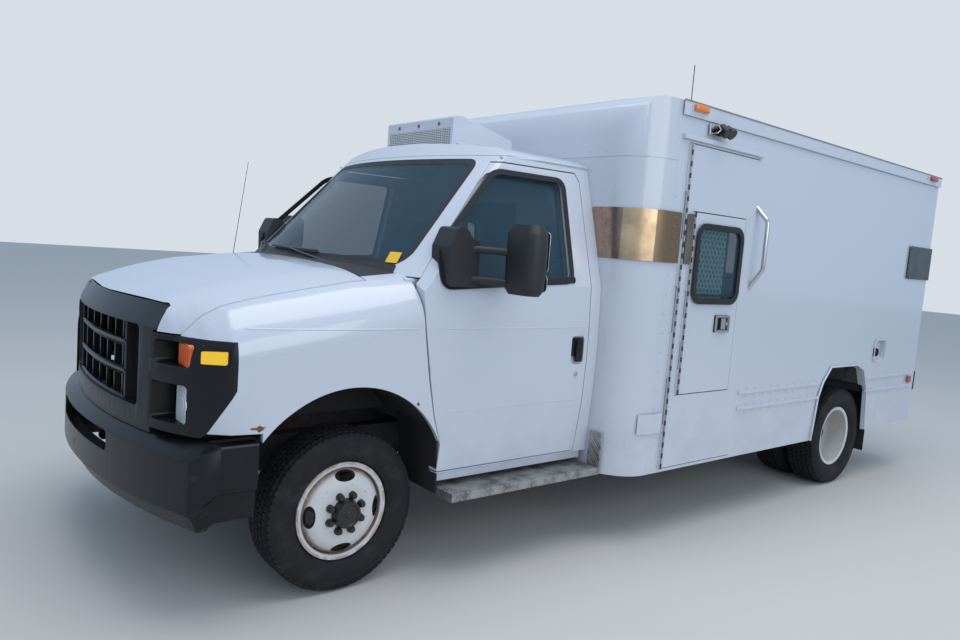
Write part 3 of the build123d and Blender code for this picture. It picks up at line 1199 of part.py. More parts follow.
# Roof unit: a wedge over the cab roof, with a recess for its louvre in front and flanges along its sides
UNIT_HALF = 331
UNIT_Z = 2272
UNIT_FRONT_X = FRONT_X - 871
LOUVRE_HALF = 305
LOUVRE_Z0 = 2118
LOUVRE_Z1 = 2206
LOUVRE_DEPTH = 34
UNIT_FLANGE = 22
with BuildPart() as roof_unit:
    side_prism(
        [
            (UNIT_FRONT_X, ROOF_Z - 8), (UNIT_FRONT_X, UNIT_Z - 10), (UNIT_FRONT_X - 14, UNIT_Z),
            (UNIT_FRONT_X - 60, UNIT_Z + 6), (UNIT_FRONT_X - 429, 2195), (UNIT_FRONT_X - 439, 2180),
            (UNIT_FRONT_X - 439, ROOF_Z - 8),
        ],
        -UNIT_HALF, UNIT_HALF,
    )
    for side in (1, -1):
        side_prism(
            [
                (UNIT_FRONT_X - 30, ROOF_Z - 30), (UNIT_FRONT_X - 30, 2128), (UNIT_FRONT_X - 420, 2128),
                (UNIT_FRONT_X - 420, ROOF_Z - 30),
            ],
            side * UNIT_HALF, side * (UNIT_HALF + UNIT_FLANGE),
        )
    block(UNIT_FRONT_X - LOUVRE_DEPTH, UNIT_FRONT_X + 10, -LOUVRE_HALF, LOUVRE_HALF, LOUVRE_Z0, LOUVRE_Z1,
          mode=Mode.SUBTRACT)
    add(cab_form(-SEAT, -SEAT), mode=Mode.SUBTRACT)
finish(roof_unit, "roof_unit")

# Lamps by (x, y, z, length, width, height) of each block on the left, mirrored to the right
LAMPS = (
    (FRONT_X - 1830, BOX_HALF + 14, BOX_TOP - 27, 140, 27, 40),
    (FRONT_X - 5040, BOX_HALF + 14, BOX_TOP - 27, 140, 27, 40),
    (BOX_BACK - 12, 1140, 900, 23, 120, 120),
    (BOX_BACK - 12, 1140, 1060, 23, 120, 120),
)
FLOOD_X = FRONT_X - 1990
FLOOD_Y = BOX_HALF + 40
FLOOD_Z = SIDE_DOOR_Z1 + 96
with BuildPart() as lamps:
    for x, y, z, length, width, height in LAMPS:
        for side in (1, -1):
            block(x - length / 2, x + length / 2, side * (y - width / 2), side * (y + width / 2),
                  z - height / 2, z + height / 2)
    # Flood lamp over the left side door: a plate, a stay and a round housing that looks down and out
    block(FLOOD_X - 70, FLOOD_X + 60, BOX_HALF + SEAT, BOX_HALF + 10, FLOOD_Z - 32, FLOOD_Z + 34)
    block(FLOOD_X - 20, FLOOD_X + 16, BOX_HALF + 9, FLOOD_Y, FLOOD_Z - 10, FLOOD_Z + 12)
    housing = Plane(origin=(FLOOD_X - 60, FLOOD_Y, FLOOD_Z), z_dir=(0, 0.8, -0.6))
    with BuildSketch(housing):
        Circle(34)
    extrude(amount=34)
    with BuildSketch(housing.offset(-24)):
        Circle(20)
    extrude(amount=30)
    block(FLOOD_X - 60, FLOOD_X + 10, FLOOD_Y - 14, FLOOD_Y + 8, FLOOD_Z - 10, FLOOD_Z + 12)
finish(lamps, "lamps")

# Drip rails over the side doors, rub rails, and the bent handle behind the left side door, whose line is
# given as (y off the wall, z)
HANDLE_ROD = 14
HANDLE_BEND = 60
GRAB_X = FRONT_X - 2525
GRAB_LINE = ((-8, 1932), (76, 1848), (76, 1560), (-8, 1440))
with BuildPart() as side_trim:
    with BuildLine() as bar:
        FilletPolyline(*[(GRAB_X, BOX_HALF + out, z) for out, z in GRAB_LINE], radius=HANDLE_BEND)
    with BuildSketch(Plane(origin=bar.line @ 0, z_dir=bar.line % 0)):
        Circle(HANDLE_ROD)
    sweep(path=bar.line)
    block(GRAB_X - 60, GRAB_X + 60, 0, BOX_HALF + SEAT, 1300, 2100, mode=Mode.SUBTRACT)
    for side in (1, -1):
        y0 = side * (BOX_HALF + SEAT)
        block(FRONT_X - 1716, FRONT_X - 2509, y0, side * (BOX_HALF + 22),
              SIDE_DOOR_Z1 + 18, SIDE_DOOR_Z1 + 42)
        for z in (700, 800):
            block(FRONT_X - 2530, FRONT_X - 3550, y0, side * (BOX_HALF + 10), z - 10, z + 10)
            block(FRONT_X - 4300, FRONT_X - 5160, y0, side * (BOX_HALF + 10), z - 10, z + 10)
finish(side_trim, "side_trim")

with BuildPart() as mud_flaps:
    for side in (1, -1):
        block(REAR_X - 480, REAR_X - 472, side * (REAR_INNER_Y - TYRE_HALF), side * (BOX_HALF - 35), 200,
              FLOOR_TOP - FLOOR_THICK - SEAT)
finish(mud_flaps, "mud_flaps")

with BuildPart() as antennas:
    for radius, z, height in ((14, 15, 30), (2.5, 130, 240)):
        with Locations((FRONT_X - 1960, BOX_HALF - 145, BOX_TOP + z)):
            Cylinder(radius, height)
    add(box_outer, mode=Mode.SUBTRACT)
finish(antennas, "antennas")
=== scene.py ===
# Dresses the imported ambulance: paint, rubber, glass and trim on the CAD solids, and the small pieces
# that the solids leave out. Lengths are in metres in the frame's own axes: +X forward, +Y left, +Z up.
from math import cos, pi, radians, sin, sqrt

import bmesh
import bpy
from mathutils import Matrix, Vector
from mathutils.bvhtree import BVHTree


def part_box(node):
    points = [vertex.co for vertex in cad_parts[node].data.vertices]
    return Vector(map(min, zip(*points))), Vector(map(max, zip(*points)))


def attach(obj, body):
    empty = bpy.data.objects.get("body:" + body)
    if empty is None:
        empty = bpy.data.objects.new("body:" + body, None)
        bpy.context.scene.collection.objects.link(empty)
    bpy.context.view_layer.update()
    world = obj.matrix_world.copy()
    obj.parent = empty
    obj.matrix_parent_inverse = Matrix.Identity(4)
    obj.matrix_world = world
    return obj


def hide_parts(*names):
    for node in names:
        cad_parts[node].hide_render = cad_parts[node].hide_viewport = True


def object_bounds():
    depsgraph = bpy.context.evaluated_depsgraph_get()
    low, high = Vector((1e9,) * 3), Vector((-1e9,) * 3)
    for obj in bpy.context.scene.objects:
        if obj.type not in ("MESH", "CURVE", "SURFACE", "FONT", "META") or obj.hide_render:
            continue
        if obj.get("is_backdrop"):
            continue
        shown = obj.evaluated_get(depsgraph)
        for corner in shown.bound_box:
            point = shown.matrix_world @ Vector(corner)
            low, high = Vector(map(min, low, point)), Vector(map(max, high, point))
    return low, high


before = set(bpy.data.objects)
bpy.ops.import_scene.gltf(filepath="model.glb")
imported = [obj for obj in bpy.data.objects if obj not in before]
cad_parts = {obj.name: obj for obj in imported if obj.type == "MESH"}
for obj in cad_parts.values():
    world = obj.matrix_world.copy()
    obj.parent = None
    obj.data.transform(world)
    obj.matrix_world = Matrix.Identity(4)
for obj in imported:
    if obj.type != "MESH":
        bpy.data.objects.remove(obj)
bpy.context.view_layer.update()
scene = bpy.context.scene
scene.view_settings.view_transform = "Standard"

# The wheel stations and the faces that pieces sit on, from the frame
front_low, front_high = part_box("tyre_front_left")
rear_low, rear_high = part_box("tyres_rear_left")
AXLE_Z = (front_high.z + front_low.z) / 2
FRONT_X = (front_low.x + front_high.x) / 2
REAR_X = (rear_low.x + rear_high.x) / 2
TYRE_WIDTH = front_high.y - front_low.y
FRONT_WHEEL_Y = (front_low.y + front_high.y) / 2
REAR_OUTER_Y = rear_high.y - TYRE_WIDTH / 2
REAR_INNER_Y = rear_low.y + TYRE_WIDTH / 2
BOX_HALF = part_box("box_sides")[1].y
BOX_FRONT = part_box("box_front")[1].x
BOX_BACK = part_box("box_rear")[0].x

NOISE_ROUGHNESS = 0.55


class Value:
    """A socket of a finish's node tree, with the arithmetic that the finishes use."""

    def __init__(self, finish, socket):
        self.finish = finish
        self.socket = socket

    def math(self, operation, *others, clamp=False):
        return self.finish.add("ShaderNodeMath", {"operation": operation, "use_clamp": clamp}, self, *others)

    def __add__(self, other):
        return self.math("ADD", other)

    def __sub__(self, other):
        return self.math("SUBTRACT", other)

    def __rsub__(self, other):
        return self.finish.add("ShaderNodeMath", {"operation": "SUBTRACT"}, other, self)

    def __mul__(self, other):
        return self.math("MULTIPLY", other)

    def clamp(self):
        return self.math("ADD", 0.0, clamp=True)

    def ramp(self, low, high):
        """0 below low and 1 above high, or the other way round where high is below low."""
        ends = (low, high, 0.0, 1.0) if low < high else (high, low, 1.0, 0.0)
        return self.finish.add("ShaderNodeMapRange", {"interpolation_type": "SMOOTHSTEP"}, self, *ends)


class Finish:
    """A material and its node tree."""

    def __init__(self, name, color, roughness, metallic=0.0, **shader):
        self.material = bpy.data.materials.new(name)
        self.material.use_nodes = True
        self.tree = self.material.node_tree
        self.shader = self.tree.nodes["Principled BSDF"]
        self.set("Base Color", (*color, 1.0))
        self.set("Roughness", roughness)
        self.set("Metallic", metallic)
        for key, value in shader.items():
            self.set(key.replace("_", " "), value)
        self.material.diffuse_color = (*color, 1.0)

    def set(self, socket, value):
        self.feed(self.shader.inputs[socket], value)

    def feed(self, socket, value):
        if isinstance(value, Value):
            self.tree.links.new(value.socket, socket)
        elif isinstance(value, tuple) and len(value) == 3 and socket.type == "RGBA":
            socket.default_value = (*value, 1.0)
        else:
            socket.default_value = value

    def add(self, kind, settings, *values, output=0, **named):
        """A node: its settings first, then the values or links of its sockets, in order or by name."""
        node = self.tree.nodes.new(kind)
        for key, value in settings.items():
            setattr(node, key, value)
        for socket, value in zip([s for s in node.inputs if s.enabled], values):
            self.feed(socket, value)
        for key, value in named.items():
            self.feed(node.inputs[key], value)
        return Value(self, node.outputs[output])

    def place(self):
        return self.add("ShaderNodeTexCoord", {}, output="Object")

    def axis(self, letter):
        return self.add("ShaderNodeSeparateXYZ", {}, self.place(), output=letter)

    def noise(self, scale, detail=3.0, stretch=(1.0, 1.0, 1.0)):
        place = self.add("ShaderNodeMapping", {}, Vector=self.place(), Scale=stretch)
        return self.add("ShaderNodeTexNoise", {}, Vector=place, Scale=scale, Detail=detail,
                        Roughness=NOISE_ROUGHNESS)

    def mix(self, share, first, second):
        return self.add("ShaderNodeMix", {"data_type": "RGBA"}, share, first, second, output=2)

    def bump(self, height, strength, distance=0.002):
        lifted = self.add("ShaderNodeBump", {}, Height=height, Strength=strength, Distance=distance)
        self.set("Normal", lifted)


RUST = (0.12, 0.045, 0.02)
DARK_RUST = (0.20, 0.075, 0.035)
PALE_RUST = (0.36, 0.25, 0.17)
DUST = (0.30, 0.28, 0.25)
PAINT = (0.575, 0.61, 0.68)
BLACK_PLASTIC = (0.018, 0.018, 0.020)
CHARCOAL = (0.007, 0.008, 0.010)
WORN_CHARCOAL = (0.12, 0.115, 0.11)
# Rust on the cab's sides: setting along X, height, and how far it reaches each way
RUST_SPOTS = ((2.668, 0.800, 0.028, 0.014), (1.852, 0.672, 0.013, 0.036), (1.930, 0.846, 0.008, 0.008),
              (1.70, 0.440, 0.10, 0.012))


def white_paint():
    """Gloss paint with a little dust low down and rust where the panels end over the wheels and the sill."""
    paint = Finish("white_paint", PAINT, 0.20, Coat_Weight=0.7, Coat_Roughness=0.05)
    x, y, z = (paint.axis(letter) for letter in "XYZ")
    low = z.ramp(0.95, 0.42)
    patch = paint.noise(5.0, detail=5.0)
    fine = paint.noise(45.0, detail=5.0)
    dust = low * patch.ramp(0.35, 0.75) * 0.22
    spots = []
    for place_x, place_z, long, high in RUST_SPOTS:
        across = (x - place_x) * (1 / long)
        above = (z - place_z) * (1 / high)
        reach = (across * across + above * above).math("SQRT") + (fine - 0.5) * 1.8
        spots.append(reach.ramp(1.05, 0.85))
    rust = spots[0]
    for spot in spots[1:]:
        rust = rust.math("MAXIMUM", spot)
    rust = rust * y.math("ABSOLUTE").ramp(0.86, 0.87)
    clean = paint.mix(dust, PAINT, DUST)
    rusty = paint.mix(fine.ramp(0.4, 0.6), RUST, DARK_RUST)
    paint.set("Base Color", paint.mix(rust, clean, rusty))
    paint.set("Roughness", (dust * 0.5 + rust * 0.7 + 0.20).clamp())
    paint.set("Coat Weight", (1.0 - rust) * 0.7)
    return paint.material


def cowl_cover():
    """Black plastic under the windscreen, and body paint on its two ends."""
    cover = Finish("cowl_cover", BLACK_PLASTIC, 0.5)
    painted = cover.axis("Y").math("ABSOLUTE").ramp(0.805, 0.807)
    cover.set("Base Color", cover.mix(painted, BLACK_PLASTIC, PAINT))
    cover.set("Roughness", 0.5 - painted * 0.28)
    return cover.material


def corner_bronze():
    """Bronze sheet, stained, with painted reflection dull on the front face and dark along the side, and a
    painted highlight round the corner.
    """
    sheet = Finish("bronze_with_painted_highlight", (0.5, 0.36, 0.24), 0.28, metallic=1.0)
    x = sheet.axis("X")
    stain = sheet.noise(9.0, detail=5.0).ramp(0.35, 0.75)
    # Painted light by where the sheet faces: painted reflection makes it dark along the side and dull on the
    # front face, and a painted highlight makes it bright round the corner
    side = x.ramp(BOX_FRONT - 0.128, BOX_FRONT - 0.132)
    front = x.ramp(BOX_FRONT - 0.012, BOX_FRONT - 0.009)
    color = sheet.mix(side, (0.86, 0.60, 0.35), (0.30, 0.205, 0.13))
    color = sheet.mix(front, color, (0.46, 0.32, 0.25))
    sheet.set("Base Color", sheet.mix(stain * 0.5, color, (0.25, 0.18, 0.12)))
    sheet.set("Roughness", stain * 0.12 + side * 0.1 + 0.24)
    return sheet.material


# The ring that the wheels' hand holes lie on, and the half sizes across and along it of the painted shade
# that stands for the holes
HOLE_RING = 0.163
HOLE_SHADE_ACROSS = 0.023
HOLE_SHADE_ALONG = 0.050


def wheel_paint(name, color, axle_x, rust, holes):
    """Old white wheel paint: rusty in the rim's hollow and along its flange, with painted shade over and
    round the hand holes.
    """
    paint = Finish(name, color, 0.45)
    across = paint.axis("X") - axle_x
    above = paint.axis("Z") - AXLE_Z
    radius = (across * across + above * above).math("SQRT")
    far = across.math("ABSOLUTE").math("MAXIMUM", above.math("ABSOLUTE")) - HOLE_RING
    near = across.math("ABSOLUTE").math("MINIMUM", above.math("ABSOLUTE"))
    reach = far * far * (1 / HOLE_SHADE_ACROSS ** 2) + near * near * (1 / HOLE_SHADE_ALONG ** 2)
    # Painted shade over the hand holes, reaching past their edges in the solid; the front wheels only
    hole_shade = reach.ramp(1.02, 0.96) * holes
    patch = paint.noise(24.0, detail=6.0)
    hollow = radius.ramp(0.168, 0.186) * radius.ramp(0.203, 0.195)
    flange = radius.ramp(0.203, 0.214) * patch.ramp(0.35, 0.6) * 0.75
    speck = paint.noise(60.0, detail=4.0).ramp(0.66, 0.72) * 0.8
    share = ((hollow * (patch.ramp(0.3, 0.55) * 0.6 + 0.4) + flange) * rust + speck * rust).clamp()
    worn = paint.mix(share, color, paint.mix(patch.ramp(0.4, 0.6), RUST, PALE_RUST))
    paint.set("Base Color", paint.mix(hole_shade, worn, (0.004, 0.004, 0.004)))
    paint.set("Roughness", (share * 0.35 + hole_shade * 0.5 + 0.42).clamp())
    return paint.material


def tyre_rubber():
    rubber = Finish("tyre_rubber", (0.016, 0.016, 0.017), 0.75, Specular_IOR_Level=0.3)
    grime = rubber.noise(14.0, detail=5.0).ramp(0.45, 0.75)
    rubber.set("Base Color", rubber.mix(grime * 0.5, (0.014, 0.014, 0.015), (0.045, 0.042, 0.038)))
    return rubber.material


def chassis_paint():
    paint = Finish("chassis_paint", (0.03, 0.03, 0.03), 0.7)
    rust = paint.noise(9.0, detail=5.0).ramp(0.5, 0.72)
    paint.set("Base Color", paint.mix(rust * 0.6, (0.028, 0.028, 0.028), (0.09, 0.06, 0.045)))
    return paint.material


def cast_iron():
    iron = Finish("cast_iron", (0.11, 0.10, 0.095), 0.6, metallic=0.5)
    rust = iron.noise(20.0, detail=5.0).ramp(0.4, 0.7)
    iron.set("Base Color", iron.mix(rust, (0.10, 0.10, 0.10), (0.12, 0.06, 0.035)))
    return iron.material


def black_plastic():
    """Black plastic with a fine grain."""
    plastic = Finish("black_plastic", BLACK_PLASTIC, 0.5)
    plastic.bump(plastic.noise(900.0, detail=1.0), 0.25, 0.0004)
    return plastic.material


def bumper_plastic():
    """Charcoal bumper finish with scuffs that show paler."""
    plastic = Finish("bumper_grey", CHARCOAL, 0.30, Specular_IOR_Level=0.30)
    scuff = plastic.noise(7.0, detail=6.0, stretch=(1.0, 1.0, 2.5)).ramp(0.62, 0.78)
    speck = plastic.noise(90.0, detail=2.0).ramp(0.70, 0.76)
    plastic.set("Base Color", plastic.mix((scuff * 0.12 + speck * 0.3).clamp(), CHARCOAL, WORN_CHARCOAL))
    plastic.set("Roughness", scuff * 0.25 + 0.28)
    return plastic.material


# The tread plate's bars: how many to a metre, and how fast each falls away along and across itself
BARS_PER_METRE = 33.0
BAR_ALONG = 0.55
BAR_ACROSS = 7.0


def tread_plate():
    """Checkered aluminium, worn dull, with short raised bars turned two ways."""
    plate = Finish("tread_plate", (0.42, 0.42, 0.42), 0.42, metallic=0.9)
    x, y, z = (plate.axis(letter) for letter in "XYZ")
    along, across = x * BARS_PER_METRE, (y + z) * BARS_PER_METRE
    turn = (along.math("FLOOR") + across.math("FLOOR")).math("ABSOLUTE").math("MODULO", 2.0)
    u = along.math("FRACT") - 0.5
    v = across.math("FRACT") - 0.5
    one, two = u + v, u - v
    bar = (one * one * BAR_ALONG + two * two * BAR_ACROSS).ramp(0.16, 0.10) * turn
    other = (two * two * BAR_ALONG + one * one * BAR_ACROSS).ramp(0.16, 0.10)
    bar = (bar + other * (1.0 - turn)).clamp()
    dirt = plate.noise(12.0, detail=4.0).ramp(0.4, 0.7)
    grime = (dirt * (1.0 - bar) * 0.8).clamp()
    plate.set("Base Color", plate.mix(grime, (0.44, 0.44, 0.43), (0.13, 0.12, 0.105)))
    plate.set("Roughness", (0.55 - bar * 0.25).clamp())
    plate.bump(bar, 1.0, 0.004)
    return plate.material


def woven_seat():
    cloth = Finish("seat_cloth", (0.10, 0.10, 0.115), 0.95, Sheen_Weight=0.3)
    cloth.bump(cloth.noise(600.0, detail=1.0), 0.3, 0.0006)
    return cloth.material


def brushed_sheet(name, color, roughness):
    """Bright sheet metal, stained a little unevenly."""
    sheet = Finish(name, color, roughness, metallic=1.0)
    stain = sheet.noise(9.0, detail=5.0).ramp(0.35, 0.75)
    worn = tuple(0.72 * part for part in color)
    sheet.set("Base Color", sheet.mix(stain, color, worn))
    sheet.set("Roughness", stain * 0.12 + roughness)
    return sheet.material


def painted_rails():
    """White paint on the rails, and the bright metal of the bent handle between them."""
    rails = Finish("side_rail_finish", PAINT, 0.22)
    bright = rails.axis("Z").ramp(1.40, 1.41) * rails.axis("Z").ramp(2.0, 1.99)
    rails.set("Metallic", bright)
    rails.set("Base Color", rails.mix(bright, PAINT, (0.62, 0.62, 0.61)))
    return rails.material


def perforated():
    """A teal sheet punched with staggered slots, with painted shade where they open."""
    sheet = Finish("perforated_sheet", (0.20, 0.52, 0.46), 0.5)
    along = sheet.axis("X") * 27.8
    up = sheet.axis("Z") * 37.0
    shift = (up.math("FLOOR") * 0.5).math("FRACT")
    x = (along + shift).math("FRACT") - 0.5
    z = up.math("FRACT") - 0.5
    reach = (x * x * 2.2 + z * z).math("SQRT")
    # Painted shade in the slots
    hole_shade = reach.ramp(0.34, 0.28)
    sheet.set("Base Color", sheet.mix(hole_shade, (0.50, 0.92, 0.82), (0.012, 0.03, 0.032)))
    return sheet.material


WHITE = white_paint()
WHEEL = wheel_paint("front_wheel_paint", (0.63, 0.63, 0.62), FRONT_X, 1.0, 1.0)
REAR_WHEEL = wheel_paint("rear_wheel_paint", (0.66, 0.665, 0.65), REAR_X, 0.35, 0.0)
RUBBER = tyre_rubber()
CHASSIS = chassis_paint()
CAST = cast_iron()
BLACK = black_plastic()
BEZEL = Finish("bezel_black", (0.010, 0.010, 0.012), 0.33, Specular_IOR_Level=0.3).material
DARK_LENS = Finish("dark_lens", (0.02, 0.022, 0.025), 0.08).material
GREY = Finish("grille_charcoal", (0.012, 0.014, 0.018), 0.30, Specular_IOR_Level=0.35).material
BUMPER = bumper_plastic()
FLAP = Finish("flap_rubber", (0.02, 0.02, 0.02), 0.75).material
GLASS = Finish("window_glass", (0.03, 0.075, 0.11), 0.03, Alpha=0.45, IOR=1.5).material
STEEL = Finish("bright_steel", (0.60, 0.60, 0.59), 0.24, metallic=1.0).material
PLATE = tread_plate()
AMBER = Finish("amber_lens", (0.80, 0.22, 0.015), 0.15, Coat_Weight=0.5).material
SIDE_AMBER = Finish("side_marker_lens", (0.95, 0.55, 0.02), 0.15, Coat_Weight=0.5,
                    Emission_Color=(1.0, 0.62, 0.03, 1.0), Emission_Strength=0.25).material
RED = Finish("red_lens", (0.45, 0.012, 0.012), 0.15, Coat_Weight=0.5).material
CLEAR = Finish("clear_lens", (0.62, 0.66, 0.68), 0.1, Coat_Weight=0.6).material
SEAT = woven_seat()
TRIM = Finish("cab_trim", (0.20, 0.19, 0.18), 0.75).material
FLOOR_MAT = Finish("floor_covering", (0.10, 0.10, 0.105), 0.8).material
SEAL = Finish("window_rubber", (0.012, 0.012, 0.013), 0.55).material
CAP = Finish("dark_cap", (0.022, 0.021, 0.020), 0.4).material
POCKET_SHADE = Finish("painted_pocket_shade", (0.03, 0.03, 0.03), 0.6).material
OLD_BOLT = Finish("old_bolt", (0.22, 0.09, 0.05), 0.6).material
GREY_METAL = Finish("dull_aluminium", (0.30, 0.31, 0.32), 0.5, metallic=0.6).material
HINGE_METAL = Finish("hinge_metal", (0.42, 0.42, 0.42), 0.4, metallic=0.8).material
HINGE_SHADE = Finish("hinge_shade", (0.05, 0.05, 0.05), 0.6).material
LOUVRE = Finish("louvre_metal", (0.66, 0.67, 0.68), 0.4).material
BRONZE_PAINTED_HIGHLIGHT = corner_bronze()
COWL = cowl_cover()
# The door bands' bronze is painted darker, as the painted reflection along the corner bands' sides
BRONZE_PAINTED_DARK_REFLECTION = brushed_sheet("bronze_painted_dark_reflection", (0.30, 0.24, 0.18), 0.30)
# The rear bands' polished steel is painted dark, a painted reflection of what stands round it
STEEL_WITH_PAINTED_REFLECTION = brushed_sheet("mirror_steel", (0.10, 0.11, 0.105), 0.16)
RAILS = painted_rails()
PERFORATED = perforated()
STICKER = Finish("yellow_sticker", (0.80, 0.50, 0.02), 0.5).material
WIPER = Finish("wiper_grey", (0.07, 0.07, 0.075), 0.45).material
MIRROR_GLASS = Finish("mirror_glass", (0.75, 0.77, 0.78), 0.02, metallic=1.0).material
LAMP_AMBER = Finish("turn_lamp_lens", (0.62, 0.10, 0.01), 0.18, Coat_Weight=0.5).material

# The finish of each CAD node, by the longest of these names that its own name starts with
FINISHES = (
    (CHASSIS, "frame radiator propeller_shaft"), (CAST, "engine front_axle rear_axle exhaust knuckle"),
    (RUBBER, "tyre"), (WHEEL, "rim_front"), (REAR_WHEEL, "rims_rear"),
    (WHITE, "cab_sides cab_roof door hood fenders box side_door side_hatch rear_door roof_unit"),
    (GLASS, "windscreen door_glass"), (FLOOR_MAT, "cab_floor box_floor"), (TRIM, "dashboard"),
    (SEAT, "seats"), (COWL, "cowl"), (GREY, "grille"), (BEZEL, "headlamp_bezels door_handle"),
    (CLEAR, "headlamps"), (FLAP, "arch_liners mud_flaps"), (BUMPER, "front_bumper"), (RAILS, "side_trim"),
    (PLATE, "running_boards wheel_housings step_wells rear_bumper"), (RED, "lamps"),
    (BLACK, "fuel_tank mirror antennas"),
)
NODE_FINISH = {name: finish for finish, names in FINISHES for name in names.split()}
for node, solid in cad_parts.items():
    family = max((key for key in NODE_FINISH if node.startswith(key)), key=len)
    solid.data.materials.clear()
    solid.data.materials.append(NODE_FINISH[family])


# How near vertices are welded, and the radius and height of a rivet's head
WELD = 2e-5
RIVET = 0.0055
RIVET_HEIGHT = 0.003


# Forms that the pieces start from
def rounded_off(form, geom, radius, segments, affect):
    """Edges or corners rounded to a radius."""
    bmesh.ops.bevel(form, geom=geom, offset=radius, offset_type="OFFSET", segments=segments, profile=0.5,
                    affect=affect, material=-1)


def moved(form, geom, step):
    """Shift the vertices among what an operator made."""
    bmesh.ops.translate(form, vec=step, verts=[g for g in geom if isinstance(g, bmesh.types.BMVert)])


def slab(form, x, y, z, finish=0, corner=0.0, axis=None):
    """A block over three ranges, its edges along an axis rounded where a corner radius is given."""
    size = [abs(b - a) for a, b in (x, y, z)]
    middle = [(a + b) / 2 for a, b in (x, y, z)]
    place = Matrix.Translation(middle) @ Matrix.Diagonal((*size, 1))
    made = bmesh.ops.create_cube(form, size=1.0, matrix=place)["verts"]
    for face in {face for vert in made for face in vert.link_faces}:
        face.material_index = finish
    if corner:
        edges = {edge for vert in made for edge in vert.link_edges}
        picked = [e for e in edges if axis is None
                  or abs((e.verts[0].co - e.verts[1].co).normalized()["xyz".index(axis)]) > 0.99]
        rounded_off(form, picked, corner, 4, "EDGES")


def rod(form, start, end, radius, end_radius=None, finish=0, segments=16):
    """A round bar or cone from one point to another."""
    start, end = Vector(start), Vector(end)
    turn = (end - start).to_track_quat("Z", "Y").to_matrix().to_4x4()
    made = bmesh.ops.create_cone(
        form, cap_ends=True, segments=segments, radius1=radius,
        radius2=radius if end_radius is None else end_radius, depth=(end - start).length,
        matrix=Matrix.Translation((start + end) / 2) @ turn,
    )
    for face in {face for vert in made["verts"] for face in vert.link_faces}:
        face.material_index = finish


def dome(form, place, outward, radius=RIVET, height=RIVET_HEIGHT, finish=0):
    """A low round head, as of a rivet or bolt, on a surface that faces outward."""
    place, outward = Vector(place), Vector(outward).normalized()
    foot, shoulder, top = (place + outward * height * share for share in (-0.3, 0.55, 1.0))
    rod(form, foot, shoulder, radius, radius * 0.9, finish, 8)
    rod(form, shoulder, top, radius * 0.9, radius * 0.45, finish, 8)


def turned(form, outline, centre, steps, out=1.0, finish=0):
    """An outline of (distance out along the axle, radius) spun once round the axle."""
    x, y, z = centre
    verts = [form.verts.new((x, y + out * along, z + radius)) for along, radius in outline]
    edges = [form.edges.new(pair) for pair in zip(verts, verts[1:])]
    bmesh.ops.spin(form, geom=verts + edges, cent=centre, axis=(0, 1, 0), angle=2 * pi, steps=steps,
                   use_merge=True)
    for face in form.faces:
        if not face.tag:
            face.material_index = finish
            face.tag = True


def rounded_face(form, points, radius, segments=6):
    """A flat face through the points, with its corners rounded."""
    before = set(form.faces)
    face = form.faces.new([form.verts.new(point) for point in points])
    rounded_off(form, list(face.verts), radius, segments, "VERTICES")
    form.normal_update()
    return [f for f in form.faces if f not in before][0]


def raised(form, before, faces, rise, finish):
    """Draw flat faces out by the vector rise, and give all the faces that are new their finish."""
    moved(form, bmesh.ops.extrude_face_region(form, geom=faces, use_keep_orig=True)["geom"], rise)
    for face in form.faces:
        if face not in before:
            face.material_index = finish


def framed(form, points, radius, width, rise, finish=0):
    """A flat band along a rounded outline, inside it by width, raised by the vector rise."""
    before = set(form.faces)
    face = rounded_face(form, points, radius)
    ring = bmesh.ops.inset_region(form, faces=[face], thickness=width, use_boundary=True,
                                  use_even_offset=True)["faces"]
    bmesh.ops.delete(form, geom=[face], context="FACES")
    raised(form, before, ring, rise, finish)


def plate(form, points, radius, rise, finish=0):
    """A flat plate with rounded corners, as thick as the vector rise."""
    before = set(form.faces)
    raised(form, before, [rounded_face(form, points, radius)], rise, finish)


def swept(form, points, radius, finish=0, segments=10):
    """A round bar through a line of points, with its joints mitred."""
    points = [Vector(p) for p in points]
    ring = None
    for k, point in enumerate(points):
        ahead = (points[min(k + 1, len(points) - 1)] - points[max(k - 1, 0)]).normalized()
        turn = ahead.to_track_quat("Z", "Y").to_matrix().to_4x4()
        made = bmesh.ops.create_circle(form, cap_ends=k in (0, len(points) - 1), segments=segments,
                                       radius=radius, matrix=Matrix.Translation(point) @ turn)["verts"]
        edges = list(dict.fromkeys(e for v in made for e in v.link_edges if all(u in made for u in e.verts)))
        if ring:
            for face in bmesh.ops.bridge_loops(form, edges=ring + edges)["faces"]:
                face.material_index = finish
        ring = edges


def placed(name, form, body, finishes, smooth, rounded, edge_angle, harden):
    """A form in its place, smooth over its gentle edges and soft at the others, that rides on a body."""
    data = bpy.data.meshes.new(name)
    form.to_mesh(data)
    form.free()
    for finish in finishes:
        data.materials.append(finish)
    data.shade_smooth()
    data.set_sharp_from_angle(angle=radians(smooth))
    made = bpy.data.objects.new(name, data)
    scene.collection.objects.link(made)
    if rounded:
        edge = made.modifiers.new("rounded", "BEVEL")
        edge.width = rounded
        edge.segments = 2
        edge.limit_method = "ANGLE"
        edge.angle_limit = radians(edge_angle)
        edge.harden_normals = harden
    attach(made, body)
    return made


def finished(name, form, body, *finishes, smooth=32.0, rounded=0.0, replaces=()):
    """A drawn piece in its place."""
    bmesh.ops.remove_doubles(form, verts=form.verts, dist=WELD)
    bmesh.ops.recalc_face_normals(form, faces=form.faces)
    made = placed(name, form, body, finishes, smooth, rounded, 40.0, False)
    if replaces:
        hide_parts(*replaces)


